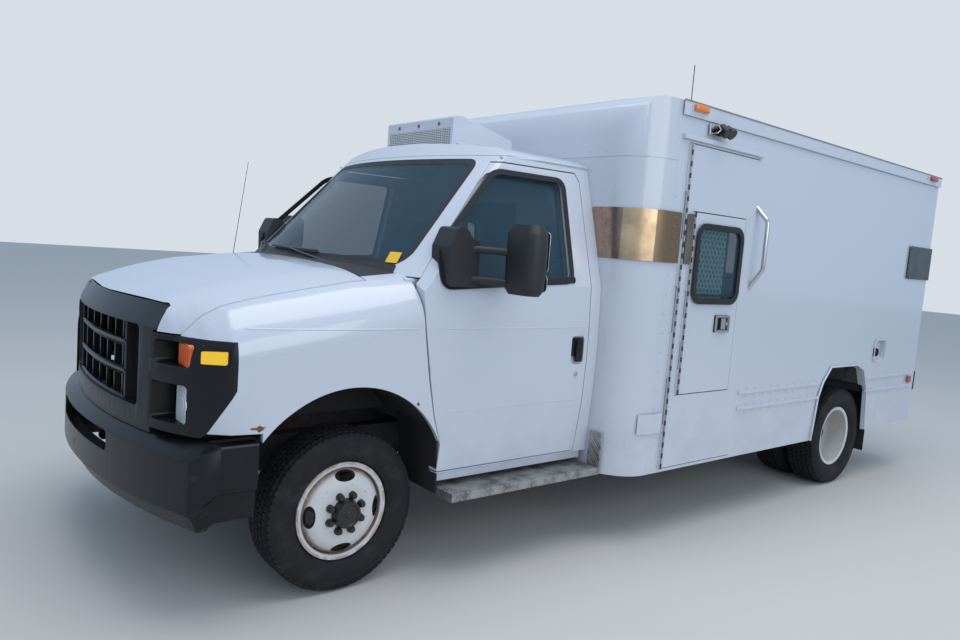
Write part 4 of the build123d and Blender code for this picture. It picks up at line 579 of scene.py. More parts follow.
def smooth_copy(node, body, finish, rounded):
    """A merged copy of a CAD solid, smooth over its facets, in its place."""
    form = bmesh.new()
    form.from_mesh(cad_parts[node].data)
    bmesh.ops.remove_doubles(form, verts=form.verts, dist=WELD)
    bmesh.ops.dissolve_degenerate(form, edges=form.edges, dist=WELD)
    bmesh.ops.dissolve_limit(form, angle_limit=radians(0.4), use_dissolve_boundaries=False, verts=form.verts,
                             edges=form.edges, delimit=set())
    made = placed(f"{node}_skin", form, body, [finish], 30.0, rounded, 32.0, True)
    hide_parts(node)


SIDES = ((1, "left"), (-1, "right"))

# Tyre section from the bead to the crown's foot as (half width, radius), with its sidewall rings
TYRE_SECTION = (
    (0.0745, 0.2045), (0.0755, 0.2255), (0.088, 0.230), (0.097, 0.242), (0.1045, 0.256), (0.107, 0.260),
    (0.1078, 0.264), (0.1112, 0.286), (0.110, 0.302), (0.107, 0.316), (0.108, 0.3185), (0.105, 0.324),
    (0.102, 0.333), (0.096, 0.345), (0.086, 0.351), (0.0, 0.353),
)
# Tread ribs: distance from the middle, width, block length, turn of the block in degrees, height, and how
# far the blocks are staggered, as a share of a pitch
TREAD_RIBS = (
    (0.0, 0.027, 0.0285, 14.0, 0.3618, 0.0), (0.0335, 0.027, 0.0285, -12.0, 0.3616, 0.5),
    (0.0660, 0.026, 0.0290, 8.0, 0.3602, 0.0), (0.0915, 0.017, 0.0270, 0.0, 0.3560, 0.5),
)
TREAD_PITCHES = 72
BLOCK_HEIGHT = 0.014
SHOULDER_RIB = 0.08
SHOULDER_DROP = 0.005


def add_block(blocks, side, rib, width, length, turn, height, stagger):
    """One tread block on top of the tyre, narrower at its own top."""
    made = bmesh.ops.create_cube(blocks, size=1.0)["verts"]
    bmesh.ops.scale(blocks, vec=(length, width, BLOCK_HEIGHT), verts=made)
    bmesh.ops.scale(blocks, vec=(0.94, 0.92, 1.0), verts=[v for v in made if v.co.z > 0])
    bmesh.ops.rotate(blocks, matrix=Matrix.Rotation(radians(turn * side), 3, "Z"), verts=made)
    if rib > SHOULDER_RIB:
        for vert in made:
            if vert.co.y * side > 0 and vert.co.z > 0:
                vert.co.z -= SHOULDER_DROP
    bmesh.ops.translate(blocks, vec=(0, side * rib, height - BLOCK_HEIGHT / 2), verts=made)
    bmesh.ops.rotate(blocks, matrix=Matrix.Rotation(2 * pi * stagger / TREAD_PITCHES, 3, "Y"), verts=made)


def add_tyre(form, x, y):
    """A tyre: its carcass spun once, and one pitch of tread blocks repeated round it."""
    section = list(TYRE_SECTION)
    section += [(-half, radius) for half, radius in reversed(TYRE_SECTION[:-1])]
    turned(form, section, (x, y, AXLE_Z), 96)
    blocks = bmesh.new()
    for rib in TREAD_RIBS:
        for side in (1, -1) if rib[0] else (1,):
            add_block(blocks, side, *rib)
    pitch = list(blocks.verts) + list(blocks.edges) + list(blocks.faces)
    for k in range(1, TREAD_PITCHES):
        copy = bmesh.ops.duplicate(blocks, geom=pitch)["geom"]
        bmesh.ops.rotate(blocks, matrix=Matrix.Rotation(2 * pi * k / TREAD_PITCHES, 3, "Y"),
                         verts=[g for g in copy if isinstance(g, bmesh.types.BMVert)])
    bmesh.ops.translate(blocks, vec=(x, y, AXLE_Z), verts=blocks.verts)
    mesh = bpy.data.meshes.new("tread")
    blocks.to_mesh(mesh)
    blocks.free()
    form.from_mesh(mesh)
    bpy.data.meshes.remove(mesh)


# Hub and nut caps as (distance out from the stud face, radius)
HUB_CAP = ((-0.004, 0.0665), (0.012, 0.066), (0.038, 0.061), (0.046, 0.057), (0.0475, 0.048), (0.0415, 0.043),
           (0.0415, 0.016), (0.046, 0.012), (0.0465, 0.0))
NUT_CAP = ((-0.002, 0.0185), (0.006, 0.0182), (0.024, 0.0160), (0.032, 0.0115), (0.034, 0.0))
STUD_CIRCLE = 0.0825
STUD_COUNT = 8
# Each wheel's body, axle, stud face and how far its hub reaches out against the front one
HUBS = (("wheel_front", FRONT_X, FRONT_WHEEL_Y + 0.104, 1.0),
        ("wheels_rear", REAR_X, (REAR_OUTER_Y + REAR_INNER_Y) / 2 + 0.005, 2.25))
for side, word in SIDES:
    tyre = bmesh.new()
    add_tyre(tyre, FRONT_X, side * FRONT_WHEEL_Y)
    finished(f"tread_tyre_front_{word}", tyre, f"wheel_front_{word}", RUBBER, replaces=[f"tyre_front_{word}"])
    tyres = bmesh.new()
    add_tyre(tyres, REAR_X, side * REAR_OUTER_Y)
    add_tyre(tyres, REAR_X, side * REAR_INNER_Y)
    finished(f"tread_tyres_rear_{word}", tyres, f"wheels_rear_{word}", RUBBER,
             replaces=[f"tyres_rear_{word}"])
    for body, x, face_y, reach in HUBS:
        caps = bmesh.new()
        turned(caps, [(out * reach, radius) for out, radius in HUB_CAP], (x, side * face_y, AXLE_Z), 32, side)
        for k in range(STUD_COUNT):
            angle = 2 * pi * (k + 0.5) / STUD_COUNT
            stud = (x + STUD_CIRCLE * cos(angle), side * face_y, AXLE_Z + STUD_CIRCLE * sin(angle))
            turned(caps, NUT_CAP, stud, 12, side)
        finished(f"hub_and_nut_caps_{body}_{word}", caps, f"{body}_{word}", CAP, smooth=40.0)

# The bright bands round the box's front corners, with their rivets
BAND_Z = (1.561, 1.833)
BAND_BACK_X = FRONT_X - 1.768
BAND_FRONT_Y = 0.88
DOOR_BAND_X = (FRONT_X - 1.872, FRONT_X - 1.816)
REAR_BAND_X = (BOX_BACK + 0.003, FRONT_X - 4.79)
REAR_BAND_Z = (1.577, 1.837)
CORNER = 0.225
SHEET = 0.0016
BAND_RIVET = (0.008, 0.005)
REAR_BAND_RIVET = (0.007, 0.004)
FRONT_RIVET_Y = 0.975
CORNER_RIVET_X = BOX_FRONT - CORNER - 0.03
DOOR_PROUD = 0.004


def given_thickness(form, thick):
    """Turn a sheet's faces to the front and give them their thickness."""
    bmesh.ops.recalc_face_normals(form, faces=form.faces)
    if form.faces[0].normal.x < 0:
        bmesh.ops.reverse_faces(form, faces=form.faces)
    bmesh.ops.solidify(form, geom=list(form.faces), thickness=-thick)


def corner_sheet(form, side, front_y, z, stand_off=0.0008, thick=SHEET):
    """A thin sheet from the box's front wall round its corner and along its side wall to the door."""
    corner_y = BOX_HALF - CORNER
    verts = [form.verts.new((BOX_FRONT + stand_off, side * front_y, height)) for height in z]
    out = bmesh.ops.extrude_edge_only(form, edges=[form.edges.new(verts)])["geom"]
    moved(form, out, (0, side * (corner_y - front_y), 0))
    edge = [g for g in out if isinstance(g, bmesh.types.BMEdge)
            and all(abs(v.co.y) > corner_y - 1e-4 for v in g.verts)][0]
    last = bmesh.ops.spin(form, geom=[edge] + list(edge.verts), cent=(BOX_FRONT - CORNER, side * corner_y, 0),
                          axis=(0, 0, 1), angle=side * pi / 2, steps=16)["geom_last"]
    edge = [g for g in last if isinstance(g, bmesh.types.BMEdge)][0]
    out = bmesh.ops.extrude_edge_only(form, edges=[edge])["geom"]
    moved(form, out, (BAND_BACK_X - edge.verts[0].co.x, 0, 0))
    bmesh.ops.remove_doubles(form, verts=form.verts, dist=1e-6)
    given_thickness(form, thick)


def on_side(x0, x1, z0, z1, y):
    """The corners of a rectangle on an upright plane along the vehicle."""
    return [(x0, y, z0), (x1, y, z0), (x1, y, z1), (x0, y, z1)]


def on_end(y0, y1, z0, z1, x):
    """The corners of a rectangle on an upright plane across the vehicle."""
    return [(x, y0, z0), (x, y1, z0), (x, y1, z1), (x, y0, z1)]


def widened(window, by):
    """The four limits of a rectangle, further out by the same width on all sides."""
    low, high, foot, top = window
    return low - by, high + by, foot - by, top + by


for side, word in SIDES:
    out = (0, side, 0)
    band = bmesh.new()
    corner_sheet(band, side, BAND_FRONT_Y, BAND_Z)
    for k in range(5):
        z = BAND_Z[0] + 0.028 + k * 0.054
        dome(band, (BOX_FRONT + SHEET, side * FRONT_RIVET_Y, z), (1, 0, 0), *BAND_RIVET)
        dome(band, (CORNER_RIVET_X, side * (BOX_HALF + SHEET), z), out, *BAND_RIVET)
    finished(f"corner_band_{word}", band, "chassis", BRONZE_PAINTED_HIGHLIGHT)
    strip = bmesh.new()
    door_y = BOX_HALF + DOOR_PROUD
    slab(strip, DOOR_BAND_X, (side * door_y, side * (door_y + SHEET)), BAND_Z)
    finished(f"door_band_{word}", strip, f"side_door_{word}", BRONZE_PAINTED_DARK_REFLECTION)
    rear = bmesh.new()
    slab(rear, REAR_BAND_X, (side * BOX_HALF, side * (BOX_HALF + SHEET)), REAR_BAND_Z)
    for k in range(5):
        place = (FRONT_X - 4.81, side * (BOX_HALF + SHEET), 1.6 + k * 0.053)
        dome(rear, place, out, *REAR_BAND_RIVET)
    finished(f"rear_band_{word}", rear, "chassis", STEEL_WITH_PAINTED_REFLECTION)

# Sheet seams and rivets of the box: the edge strip under the roof, the rows of rivets, the access panel and
# the lip round the rear wheel's opening
EDGE_STRIP_X = (BOX_BACK + 0.002, BOX_FRONT - CORNER - 0.02)
EDGE_STRIP_Z = 2.342
EDGE_STRIP_PROUD = 0.0025
ROOF_EDGE_Z = 2.417
PANEL_Z = (0.625, 0.735)
SKIRT_ROWS_Z = (0.676, 0.724, 0.776, 0.824)
SKIRT_ROW_END_X = FRONT_X - 3.4
BEHIND_WHEEL = 1.79
# The wheel opening's outline as (distance ahead of the rear axle, height)
OPENING = ((0.500, 0.394), (0.460, 0.703), (0.413, 0.802), (0.314, 0.909), (-0.101, 0.909), (-0.214, 0.865),
           (-0.302, 0.701), (-0.350, 0.394))
for side, word in SIDES:
    out = (0, side, 0)
    wall_y = side * BOX_HALF
    strip_y = side * (BOX_HALF + EDGE_STRIP_PROUD)
    skin = bmesh.new()
    slab(skin, EDGE_STRIP_X, (wall_y, strip_y), (EDGE_STRIP_Z, ROOF_EDGE_Z - 0.004))
    for k in range(33):
        dome(skin, (BOX_BACK + 0.06 + k * 0.107, strip_y, EDGE_STRIP_Z + 0.010), out)
    for k in range(14):
        z = 0.55 + k * 0.105
        if not BAND_Z[0] - 0.02 < z < BAND_Z[1] + 0.02:
            dome(skin, (CORNER_RIVET_X, wall_y, z), out)
            dome(skin, (BOX_FRONT, side * FRONT_RIVET_Y, z), (1, 0, 0))
    for k in range(9):
        dome(skin, (BOX_FRONT, side * (0.10 + k * 0.105), 2.135), (1, 0, 0))
    for z in SKIRT_ROWS_Z:
        for k in range(10):
            x = FRONT_X - 2.62 - k * 0.098
            dome(skin, (x, wall_y, z), out)
            if x > SKIRT_ROW_END_X:
                dome(skin, (x - BEHIND_WHEEL, wall_y, z), out)
    finished(f"seams_and_rivets_{word}", skin, "chassis", WHITE)
    panel = bmesh.new()
    corner_sheet(panel, side, 1.0, PANEL_Z, 0.0003, 0.002)
    bmesh.ops.bisect_plane(panel, geom=list(panel.verts) + list(panel.edges) + list(panel.faces),
                           plane_co=(BOX_FRONT - 0.135, 0, 0), plane_no=(1, 0, 0), clear_outer=True)
    bmesh.ops.holes_fill(panel, edges=panel.edges)
    for x in (FRONT_X - 1.755, FRONT_X - 1.70):
        for z in (0.637, 0.723):
            dome(panel, (x, side * (BOX_HALF + 0.0023), z), out)
    finished(f"access_panel_{word}", panel, "chassis", WHITE)
    cap = bmesh.new()
    slab(cap, EDGE_STRIP_X, (side * (BOX_HALF - 0.004), side * (BOX_HALF + 0.005)),
         (ROOF_EDGE_Z - 0.004, ROOF_EDGE_Z + 0.004))
    finished(f"roof_edge_{word}", cap, "chassis", GREY_METAL)
    lip = bmesh.new()
    swept(lip, [(REAR_X + ahead, side * (BOX_HALF + 0.001), z) for ahead, z in OPENING], 0.0075, segments=8)
    finished(f"wheel_opening_lip_{word}", lip, "chassis", WHITE, smooth=50.0)

# Long hinges of the side doors, the hatch and the rear doors
HINGE_KNUCKLE = 0.0052
HINGE_PITCH = 0.0305
HINGE_REACH = HINGE_PITCH * 0.46


def long_hinge(name, x, y, low, high, fixed, swung):
    """A long hinge: knuckles on the joint's line, in turn on the frame and on what swings."""
    count = int((high - low) / HINGE_PITCH)
    for start, word, body, metal in ((0, "fixed", fixed, HINGE_SHADE), (1, "swung", swung, HINGE_METAL)):
        row = bmesh.new()
        for k in range(start, count, 2):
            z = low + (k + 0.5) * (high - low) / count
            rod(row, (x, y, z - HINGE_REACH), (x, y, z + HINGE_REACH), HINGE_KNUCKLE, segments=10)
        finished(f"{name}_knuckles_{word}", row, body, metal, smooth=50.0)


for side, word in SIDES:
    long_hinge(f"side_door_hinge_{word}", FRONT_X - 1.797, side * (BOX_HALF + 0.007), 0.415, 2.204, "chassis",
               f"side_door_{word}")
    long_hinge(f"rear_door_hinge_{word}", BOX_BACK - 0.009, side * 1.063, 0.80, 2.29, "chassis",
               f"rear_door_{word}")
long_hinge("hatch_hinge", FRONT_X - 1.882, BOX_HALF + 0.009, 0.83, 1.847, "side_door_left", "side_hatch")

# Window panes of the box with their black seals, and the perforated screen behind the hatch's pane
PANE = (FRONT_X - 2.365, FRONT_X - 1.930, 1.358, 1.778)
PANE_RADIUS = 0.062
PANE_THICK = 0.004
HATCH_PROUD = 0.006
REAR_PANE = (0.322, 0.778, 1.482, 2.048)


def pane(name, body, corners, radius, rise):
    """A window pane as thick as the vector rise."""
    form = bmesh.new()
    plate(form, corners, radius, rise)
    finished(name, form, body, GLASS)


for name, side, face_y, body in (("hatch", 1, BOX_HALF + HATCH_PROUD, "side_hatch"),
                                 ("side_door_right", -1, BOX_HALF + DOOR_PROUD, "side_door_right")):
    seal = bmesh.new()
    framed(seal, on_side(*widened(PANE, 0.016), side * (face_y + 0.0003)), PANE_RADIUS + 0.016, 0.034,
           (0, side * 0.007, 0))
    framed(seal, on_side(*widened(PANE, -0.001), side * (face_y - 0.022)), PANE_RADIUS, 0.016,
           (0, side * 0.024, 0))
    finished(f"{name}_seal", seal, body, SEAL, rounded=0.002)
    pane(f"{name}_pane", body, on_side(*widened(PANE, -0.004), side * (face_y - 0.010)), PANE_RADIUS - 0.004,
         (0, side * PANE_THICK, 0))
    if name == "hatch":
        x0, x1, z0, z1 = PANE
        screen = bmesh.new()
        plate(screen, on_side(x0 + 0.13, x1 - 0.003, z0 + 0.003, z1 - 0.003, face_y - 0.019), 0.03,
              (0, 0.002, 0))
        finished("hatch_screen", screen, body, PERFORATED)
        strips = bmesh.new()
        slab(strips, (x0 + 0.118, x0 + 0.132), (face_y - 0.020, face_y - 0.012), (z0 + 0.004, z1 - 0.004))
        slab(strips, (x0 + 0.02, x1 - 0.02), (face_y - 0.009, face_y + 0.001), (z0 + 0.030, z0 + 0.040))
        finished("hatch_screen_edge", strips, body, SEAL)
for side, word in SIDES:
    seal = bmesh.new()
    face_x = BOX_BACK - 0.006
    framed(seal, on_end(side * 0.304, side * 0.796, 1.464, 2.066, face_x - 0.0003), 0.078, 0.034,
           (-0.007, 0, 0))
    finished(f"rear_pane_seal_{word}", seal, f"rear_door_{word}", SEAL, rounded=0.002)
    corners = on_end(side * REAR_PANE[0], side * REAR_PANE[1], *REAR_PANE[2:], face_x + 0.008)
    pane(f"rear_pane_{word}", f"rear_door_{word}", corners, 0.06, (PANE_THICK, 0, 0))

# Latches of the hatch, the right side door and the rear doors
LATCH = (FRONT_X - 2.326, FRONT_X - 2.180, 1.178, 1.280)
LATCH_Y = BOX_HALF + 0.0063
PADDLE_UP = Vector((0, 0, 0.032))


def latch(name, corners_at, middle, along, out, body):
    """A bright rim on the face that its corners lie on, a dark plate in the pocket as painted shade, and a
    paddle standing at middle.
    """
    form = bmesh.new()
    middle, along, out = Vector(middle), Vector(along), Vector(out)
    framed(form, corners_at, 0.012, 0.013, out * 0.004)
    low = middle - along * 0.020 - PADDLE_UP - out * 0.003
    high = middle + along * 0.026 + PADDLE_UP + out * 0.0035
    slab(form, *[tuple(sorted(pair)) for pair in zip(low, high)])
    lock = middle - along * 0.035
    rod(form, lock - out * 0.004, lock + out * 0.002, 0.010, segments=20)
    # Painted shade: a dark plate at the back of the pocket
    plate(form, [Vector(p) - out * 0.0145 for p in corners_at], 0.010, out * 0.001, finish=1)
    finished(name, form, body, STEEL, POCKET_SHADE, rounded=0.0015)


latch("hatch_latch", on_side(*widened(LATCH, -0.001), LATCH_Y), (FRONT_X - 2.262, LATCH_Y, 1.229), (1, 0, 0),
      (0, 1, 0), "side_hatch")
RIGHT_LATCH = (FRONT_X - 2.41, -1.2292, 1.23)
x, y, z = RIGHT_LATCH
latch("side_door_latch_right", on_side(x - 0.06, x + 0.06, z - 0.055, z + 0.055, y), RIGHT_LATCH, (1, 0, 0),
      (0, -1, 0), "side_door_right")
latch("rear_door_latch", on_end(-0.165, -0.045, 1.165, 1.275, BOX_BACK - 0.0063),
      (BOX_BACK - 0.0063, -0.105, 1.22), (0, 1, 0), (-1, 0, 0), "rear_door_right")

# Fuel filler: a rim round the recess in the left wall, and its cap inside
CAP_X = FRONT_X - 4.445
CAP_Z = 0.992
filler = bmesh.new()
framed(filler, on_side(FRONT_X - 4.583, FRONT_X - 4.367, 0.922, 1.098, BOX_HALF + 0.0003), 0.045, 0.012,
       (0, 0.004, 0))
rod(filler, (CAP_X, BOX_HALF - 0.0318, CAP_Z), (CAP_X, BOX_HALF - 0.008, CAP_Z), 0.034, 0.031, finish=1,
    segments=24)
slab(filler, (FRONT_X - 4.449, FRONT_X - 4.441), (BOX_HALF - 0.009, BOX_HALF - 0.003), (0.966, 1.018),
     finish=1)
finished("fuel_filler", filler, "chassis", WHITE, BEZEL, rounded=0.0015)

# Side marker reflectors behind the rear wheels
REFLECTOR = (FRONT_X - 5.135, FRONT_X - 5.065, 0.722, 0.778)
for side, word in SIDES:
    reflector = bmesh.new()
    plate(reflector, on_side(*REFLECTOR, side * (BOX_HALF + 0.0003)), 0.006, (0, side * 0.005, 0))
    finished(f"rear_reflector_{word}", reflector, "chassis", RED, rounded=0.0015)

# Lamps on the box: corner markers, round rear lamps and the flood lamps over the side door
MARKER_Z = 2.39
MARKERS = ((FRONT_X - 1.830, 1), (FRONT_X - 5.040, 2))
REAR_LAMPS = ((0.90, 2), (1.06, 1))
REAR_LAMP_Y = 1.140
FLOOD = (FRONT_X - 1.990, BOX_HALF + 0.040, 2.300)
FLOOD_AIM = Vector((0, 0.8, -0.6))
lamps = bmesh.new()
for side in (1, -1):
    for x, finish in MARKERS:
        slab(lamps, (x - 0.072, x + 0.072), (side * BOX_HALF, side * (BOX_HALF + 0.007)), (2.369, 2.411))
        slab(lamps, (x - 0.062, x + 0.062), (side * (BOX_HALF + 0.006), side * (BOX_HALF + 0.027)),
             (2.372, 2.408), finish=finish, corner=0.009)
        for end in (-0.048, 0.048):
            rod(lamps, (x + end, side * (BOX_HALF + 0.012), MARKER_Z),
                (x + end, side * (BOX_HALF + 0.0275), MARKER_Z), 0.005, segments=10)
    y = side * REAR_LAMP_Y
    for z, finish in REAR_LAMPS:
        slab(lamps, (BOX_BACK - 0.010, BOX_BACK), (y - 0.06, y + 0.06), (z - 0.06, z + 0.06), finish=4,
             corner=0.012, axis="x")
        rod(lamps, (BOX_BACK - 0.008, y, z), (BOX_BACK - 0.0225, y, z), 0.052, 0.047, finish, 32)
        for ring in (0.030, 0.016):
            rod(lamps, (BOX_BACK - 0.022, y, z), (BOX_BACK - 0.0235, y, z), ring, None, finish, 24)
x, y, z = FLOOD
slab(lamps, (x - 0.068, x + 0.058), (BOX_HALF + 0.0005, BOX_HALF + 0.008), (z - 0.030, z + 0.032), finish=3,
     corner=0.003)
swept(lamps, [(x + 0.03, BOX_HALF + 0.006, z + 0.02), (x + 0.03, y, z + 0.024), (x + 0.012, y + 0.004, z),
              (x + 0.03, y, z - 0.018), (x + 0.03, BOX_HALF + 0.006, z - 0.02)], 0.0035, finish=3, segments=8)
slab(lamps, (x - 0.06, x + 0.012), (y - 0.014, y + 0.008), (z - 0.012, z + 0.012), finish=4, corner=0.004)
for along in (-0.078, -0.028):
    middle = Vector((x + along, y, z)) - FLOOD_AIM * 0.007
    rod(lamps, middle - FLOOD_AIM * 0.024, middle + FLOOD_AIM * 0.034, 0.026, 0.031, finish=4, segments=20)
    rod(lamps, middle + FLOOD_AIM * 0.0335, middle + FLOOD_AIM * 0.0345, 0.027, finish=5, segments=20)
finished("box_lamps", lamps, "chassis", WHITE, AMBER, RED, STEEL, BEZEL, DARK_LENS, rounded=0.0012,
         replaces=["lamps"])

# Roof unit: its louvre with the bolts over it, and the gasket under it with the bolts along its flange
UNIT_X = FRONT_X - 0.871
LOUVRE_Y = (-0.3045, 0.3045)
LOUVRE_Z = (2.119, 2.205)
louvre = bmesh.new()
# Painted shade: a dark sheet behind the slats, in the louvre's opening
slab(louvre, (UNIT_X - 0.0335, UNIT_X - 0.030), (-0.304, 0.304), LOUVRE_Z, finish=1)
for k in range(9):
    z = 2.1225 + k * 0.0098
    slab(louvre, (UNIT_X - 0.014, UNIT_X + 0.001), LOUVRE_Y, (z, z + 0.0035))
for k in range(30):
    y = -0.29 + k * 0.02
    slab(louvre, (UNIT_X - 0.016, UNIT_X), (y - 0.0022, y + 0.0022), LOUVRE_Z)
for y in (-0.20, 0.0, 0.20):
    rod(louvre, (UNIT_X - 0.002, y, 2.235), (UNIT_X + 0.005, y, 2.235), 0.011, 0.009, finish=2, segments=6)
finished("roof_unit_louvre", louvre, "chassis", LOUVRE, POCKET_SHADE, OLD_BOLT)
gasket = bmesh.new()
for y in ((-0.353, -0.331), (0.331, 0.353)):
    slab(gasket, (UNIT_X - 0.42, UNIT_X - 0.03), y, (2.060, 2.0945))
for k in range(4):
    for side in (1, -1):
        dome(gasket, (UNIT_X - 0.07 - k * 0.105, side * 0.353, 2.112), (0, side, 0), 0.006, 0.004, finish=1)
finished("roof_unit_gasket", gasket, "chassis", SEAL, STEEL)

# The CAD's painted and moulded pieces, smooth over their facets: node, body, finish and edge radius, with {}
# where there is one on each side
SMOOTHED = (
    ("hood", "hood", WHITE, 0.003), ("fenders", "chassis", WHITE, 0.0025),
    ("cab_sides", "chassis", WHITE, 0.0025), ("cab_roof", "chassis", WHITE, 0.004),
    ("box_front", "chassis", WHITE, 0.0),
    ("headlamp_bezels", "chassis", BEZEL, 0.004), ("front_bumper", "chassis", BUMPER, 0.006),
    ("grille", "chassis", GREY, 0.003), ("roof_unit", "chassis", WHITE, 0.003),
    ("door_{}", "cab_door_{}", WHITE, 0.003), ("mirror_{}", "cab_door_{}", BLACK, 0.018),
    ("door_handle_{}", "cab_door_{}", BEZEL, 0.004), ("side_door_{}", "side_door_{}", WHITE, 0.0015),
    ("side_hatch", "side_hatch", WHITE, 0.0015), ("rear_door_{}", "rear_door_{}", WHITE, 0.0015),
    ("running_boards", "chassis", PLATE, 0.003), ("side_trim", "chassis", RAILS, 0.0015),
    ("rear_bumper", "chassis", PLATE, 0.003),
)
for node, body, finish, rounded in SMOOTHED:
    for word in ("left", "right") if "{}" in node else ("",):
        smooth_copy(node.format(word), body.format(word), finish, rounded)

# The windscreen's surface: its foot, its rake, and how far its middle bows over its half width
SCREEN_X = FRONT_X - 0.100
SCREEN_Z = 1.430
SCREEN_RAKE = 0.56 / 0.58
SCREEN_REACH = 1.100
SCREEN_BULGE = 0.318
SCREEN_BEND = (SCREEN_REACH ** 2 + SCREEN_BULGE ** 2) / (2 * SCREEN_BULGE)
LONGEST_EDGE = 0.06


def on_screen(y, z, stand_off):
    """The point on the glass at a place seen from the front, with a stand-off over it."""
    bow = SCREEN_BEND - sqrt(SCREEN_BEND ** 2 - y * y)
    return Vector((SCREEN_X - 0.004 + stand_off * 1.4 - SCREEN_RAKE * (z - SCREEN_Z) - bow, y, z))


def laid_on_screen(form, stand_off, thick):
    """Lay flat faces, drawn as seen from the front, on the glass and give them their thickness."""
    bmesh.ops.triangulate(form, faces=form.faces)
    for _ in range(3):
        long_edges = [e for e in form.edges if e.calc_length() > LONGEST_EDGE]
        if long_edges:
            bmesh.ops.subdivide_edges(form, edges=long_edges, cuts=1)
            bmesh.ops.triangulate(form, faces=form.faces)
    for vert in form.verts:
        vert.co.x = on_screen(vert.co.y, vert.co.z, stand_off).x
    given_thickness(form, thick)


EDGE_BAND = ((0, 0.8145, 1.4475), (0, -0.8145, 1.4475), (0, -0.6995, 2.0075), (0, 0.6995, 2.0075))
COWL_STRIP = ((0, 0.800, 1.400), (0, -0.800, 1.400), (0, -0.775, 1.453), (0, 0.775, 1.453))
STICKER_CORNERS = ((0, 0.705, 1.462), (0, 0.768, 1.462), (0, 0.748, 1.512), (0, 0.684, 1.512))
band = bmesh.new()
face = rounded_face(band, EDGE_BAND, 0.069)
bmesh.ops.inset_region(band, faces=[face], thickness=0.028, use_boundary=True, use_even_offset=True)
bmesh.ops.delete(band, geom=[face], context="FACES_ONLY")
laid_on_screen(band, 0.0006, 0.001)
finished("windscreen_edge_band", band, "chassis", SEAL)
for name, points, radius, stand_off, thick, finish in (
    ("cowl_edge_strip", COWL_STRIP, 0.006, 0.0040, 0.003, BLACK),
    ("screen_sticker", STICKER_CORNERS, 0.004, 0.0045, 0.0006, STICKER),
):
    sheet = bmesh.new()
    rounded_face(sheet, points, radius, 2)
    laid_on_screen(sheet, stand_off, thick)
    finished(name, sheet, "chassis", finish)

# Wipers: a blade along the glass with its clips, its rubber, and a bent arm down to the spindle in the cowl
WIPERS = (("near", (-0.340, 1.488), (0.225, 1.486), (0.530, 1.418), -0.02),
          ("far", (-0.790, 1.505), (-0.560, 1.486), (-0.300, 1.418), 0.02))
for name, inner, outer, spindle, hook in WIPERS:
    wiper = bmesh.new()
    line = [on_screen(*(a + (b - a) * k / 8 for a, b in zip(inner, outer)), 0.016) for k in range(9)]
    swept(wiper, line, 0.006, segments=6)
    swept(wiper, [on_screen(p.y, p.z - 0.004, 0.0055) for p in line], 0.0035, segments=6)
    joint = on_screen((inner[0] + outer[0]) / 2, (inner[1] + outer[1]) / 2, 0.026)
    foot = on_screen(*spindle, 0.030)
    swept(wiper, [joint + Vector((0, hook, 0)), joint, joint.lerp(foot, 0.6), foot], 0.0058, segments=8)
    rod(wiper, on_screen(*spindle, 0.0), on_screen(*spindle, 0.040), 0.016, 0.012)
    for k in (2, 4, 6):
        x, y, z = line[k]
        slab(wiper, (x - 0.008, x + 0.004), (y - 0.012, y + 0.012), (z - 0.008, z + 0.006))
    finished(f"wiper_{name}", wiper, "chassis", WIPER, smooth=50.0)

# Washer nozzles and the thin whip antenna by the far end of the cowl
NOZZLE_X = 1.985
NOZZLE_Z = 1.4215
WHIP = Vector((2.06, -0.905, 1.36))
washer = bmesh.new()
for y in (-0.44, 0.30):
    slab(washer, (NOZZLE_X - 0.016, NOZZLE_X + 0.014), (y - 0.018, y + 0.018),
         (NOZZLE_Z - 0.004, NOZZLE_Z + 0.010), corner=0.003)
finished("washer_nozzles", washer, "chassis", BLACK)
whip = bmesh.new()
rod(whip, WHIP, WHIP + Vector((0, 0, 0.045)), 0.016, 0.009)
rod(whip, WHIP + Vector((0, 0, 0.04)), WHIP + Vector((-0.075, -0.01, 0.62)), 0.0022, 0.0014, segments=8)
finished("whip_antenna", whip, "chassis", SEAL)

# Door windows: a wide black seal round the pane, a belt strip along its foot, the moulding over the door,
# the lock and the mirror glasses. The window's corners are (setback from the front axle, height)
WINDOW = ((0.385, 1.372), (0.378, 1.555), (0.752, 1.938), (1.237, 1.950), (1.225, 1.422))
WINDOW_MIDDLE = (0.80, 1.66)
SEAL_REACH = 0.020
BELT = (0.995, 1.400)
BELT_ENDS = ((0.39, 1.386), (1.245, 1.432))
DRIP = (0.815, 2.040)
LEAN = (BELT[0] - DRIP[0]) / (DRIP[1] - BELT[1])
MOULDING = ((0.82, 0.813, 2.018), (1.10, 0.8155, 2.036), (1.440, 0.815, 2.040))
LOCK_X = FRONT_X - 1.296
LOCK_Z = 0.936
# A flat mirror glass and a wide-angle one under it, by their heights
MIRROR_Z = ((1.475, 1.655), (1.385, 1.462))


def door_skin(x, z, side, stand_off):
    """A point on the leaning upper part of a door's outer face."""
    return Vector((x, side * (BELT[0] - LEAN * (z - BELT[1]) + stand_off), z))


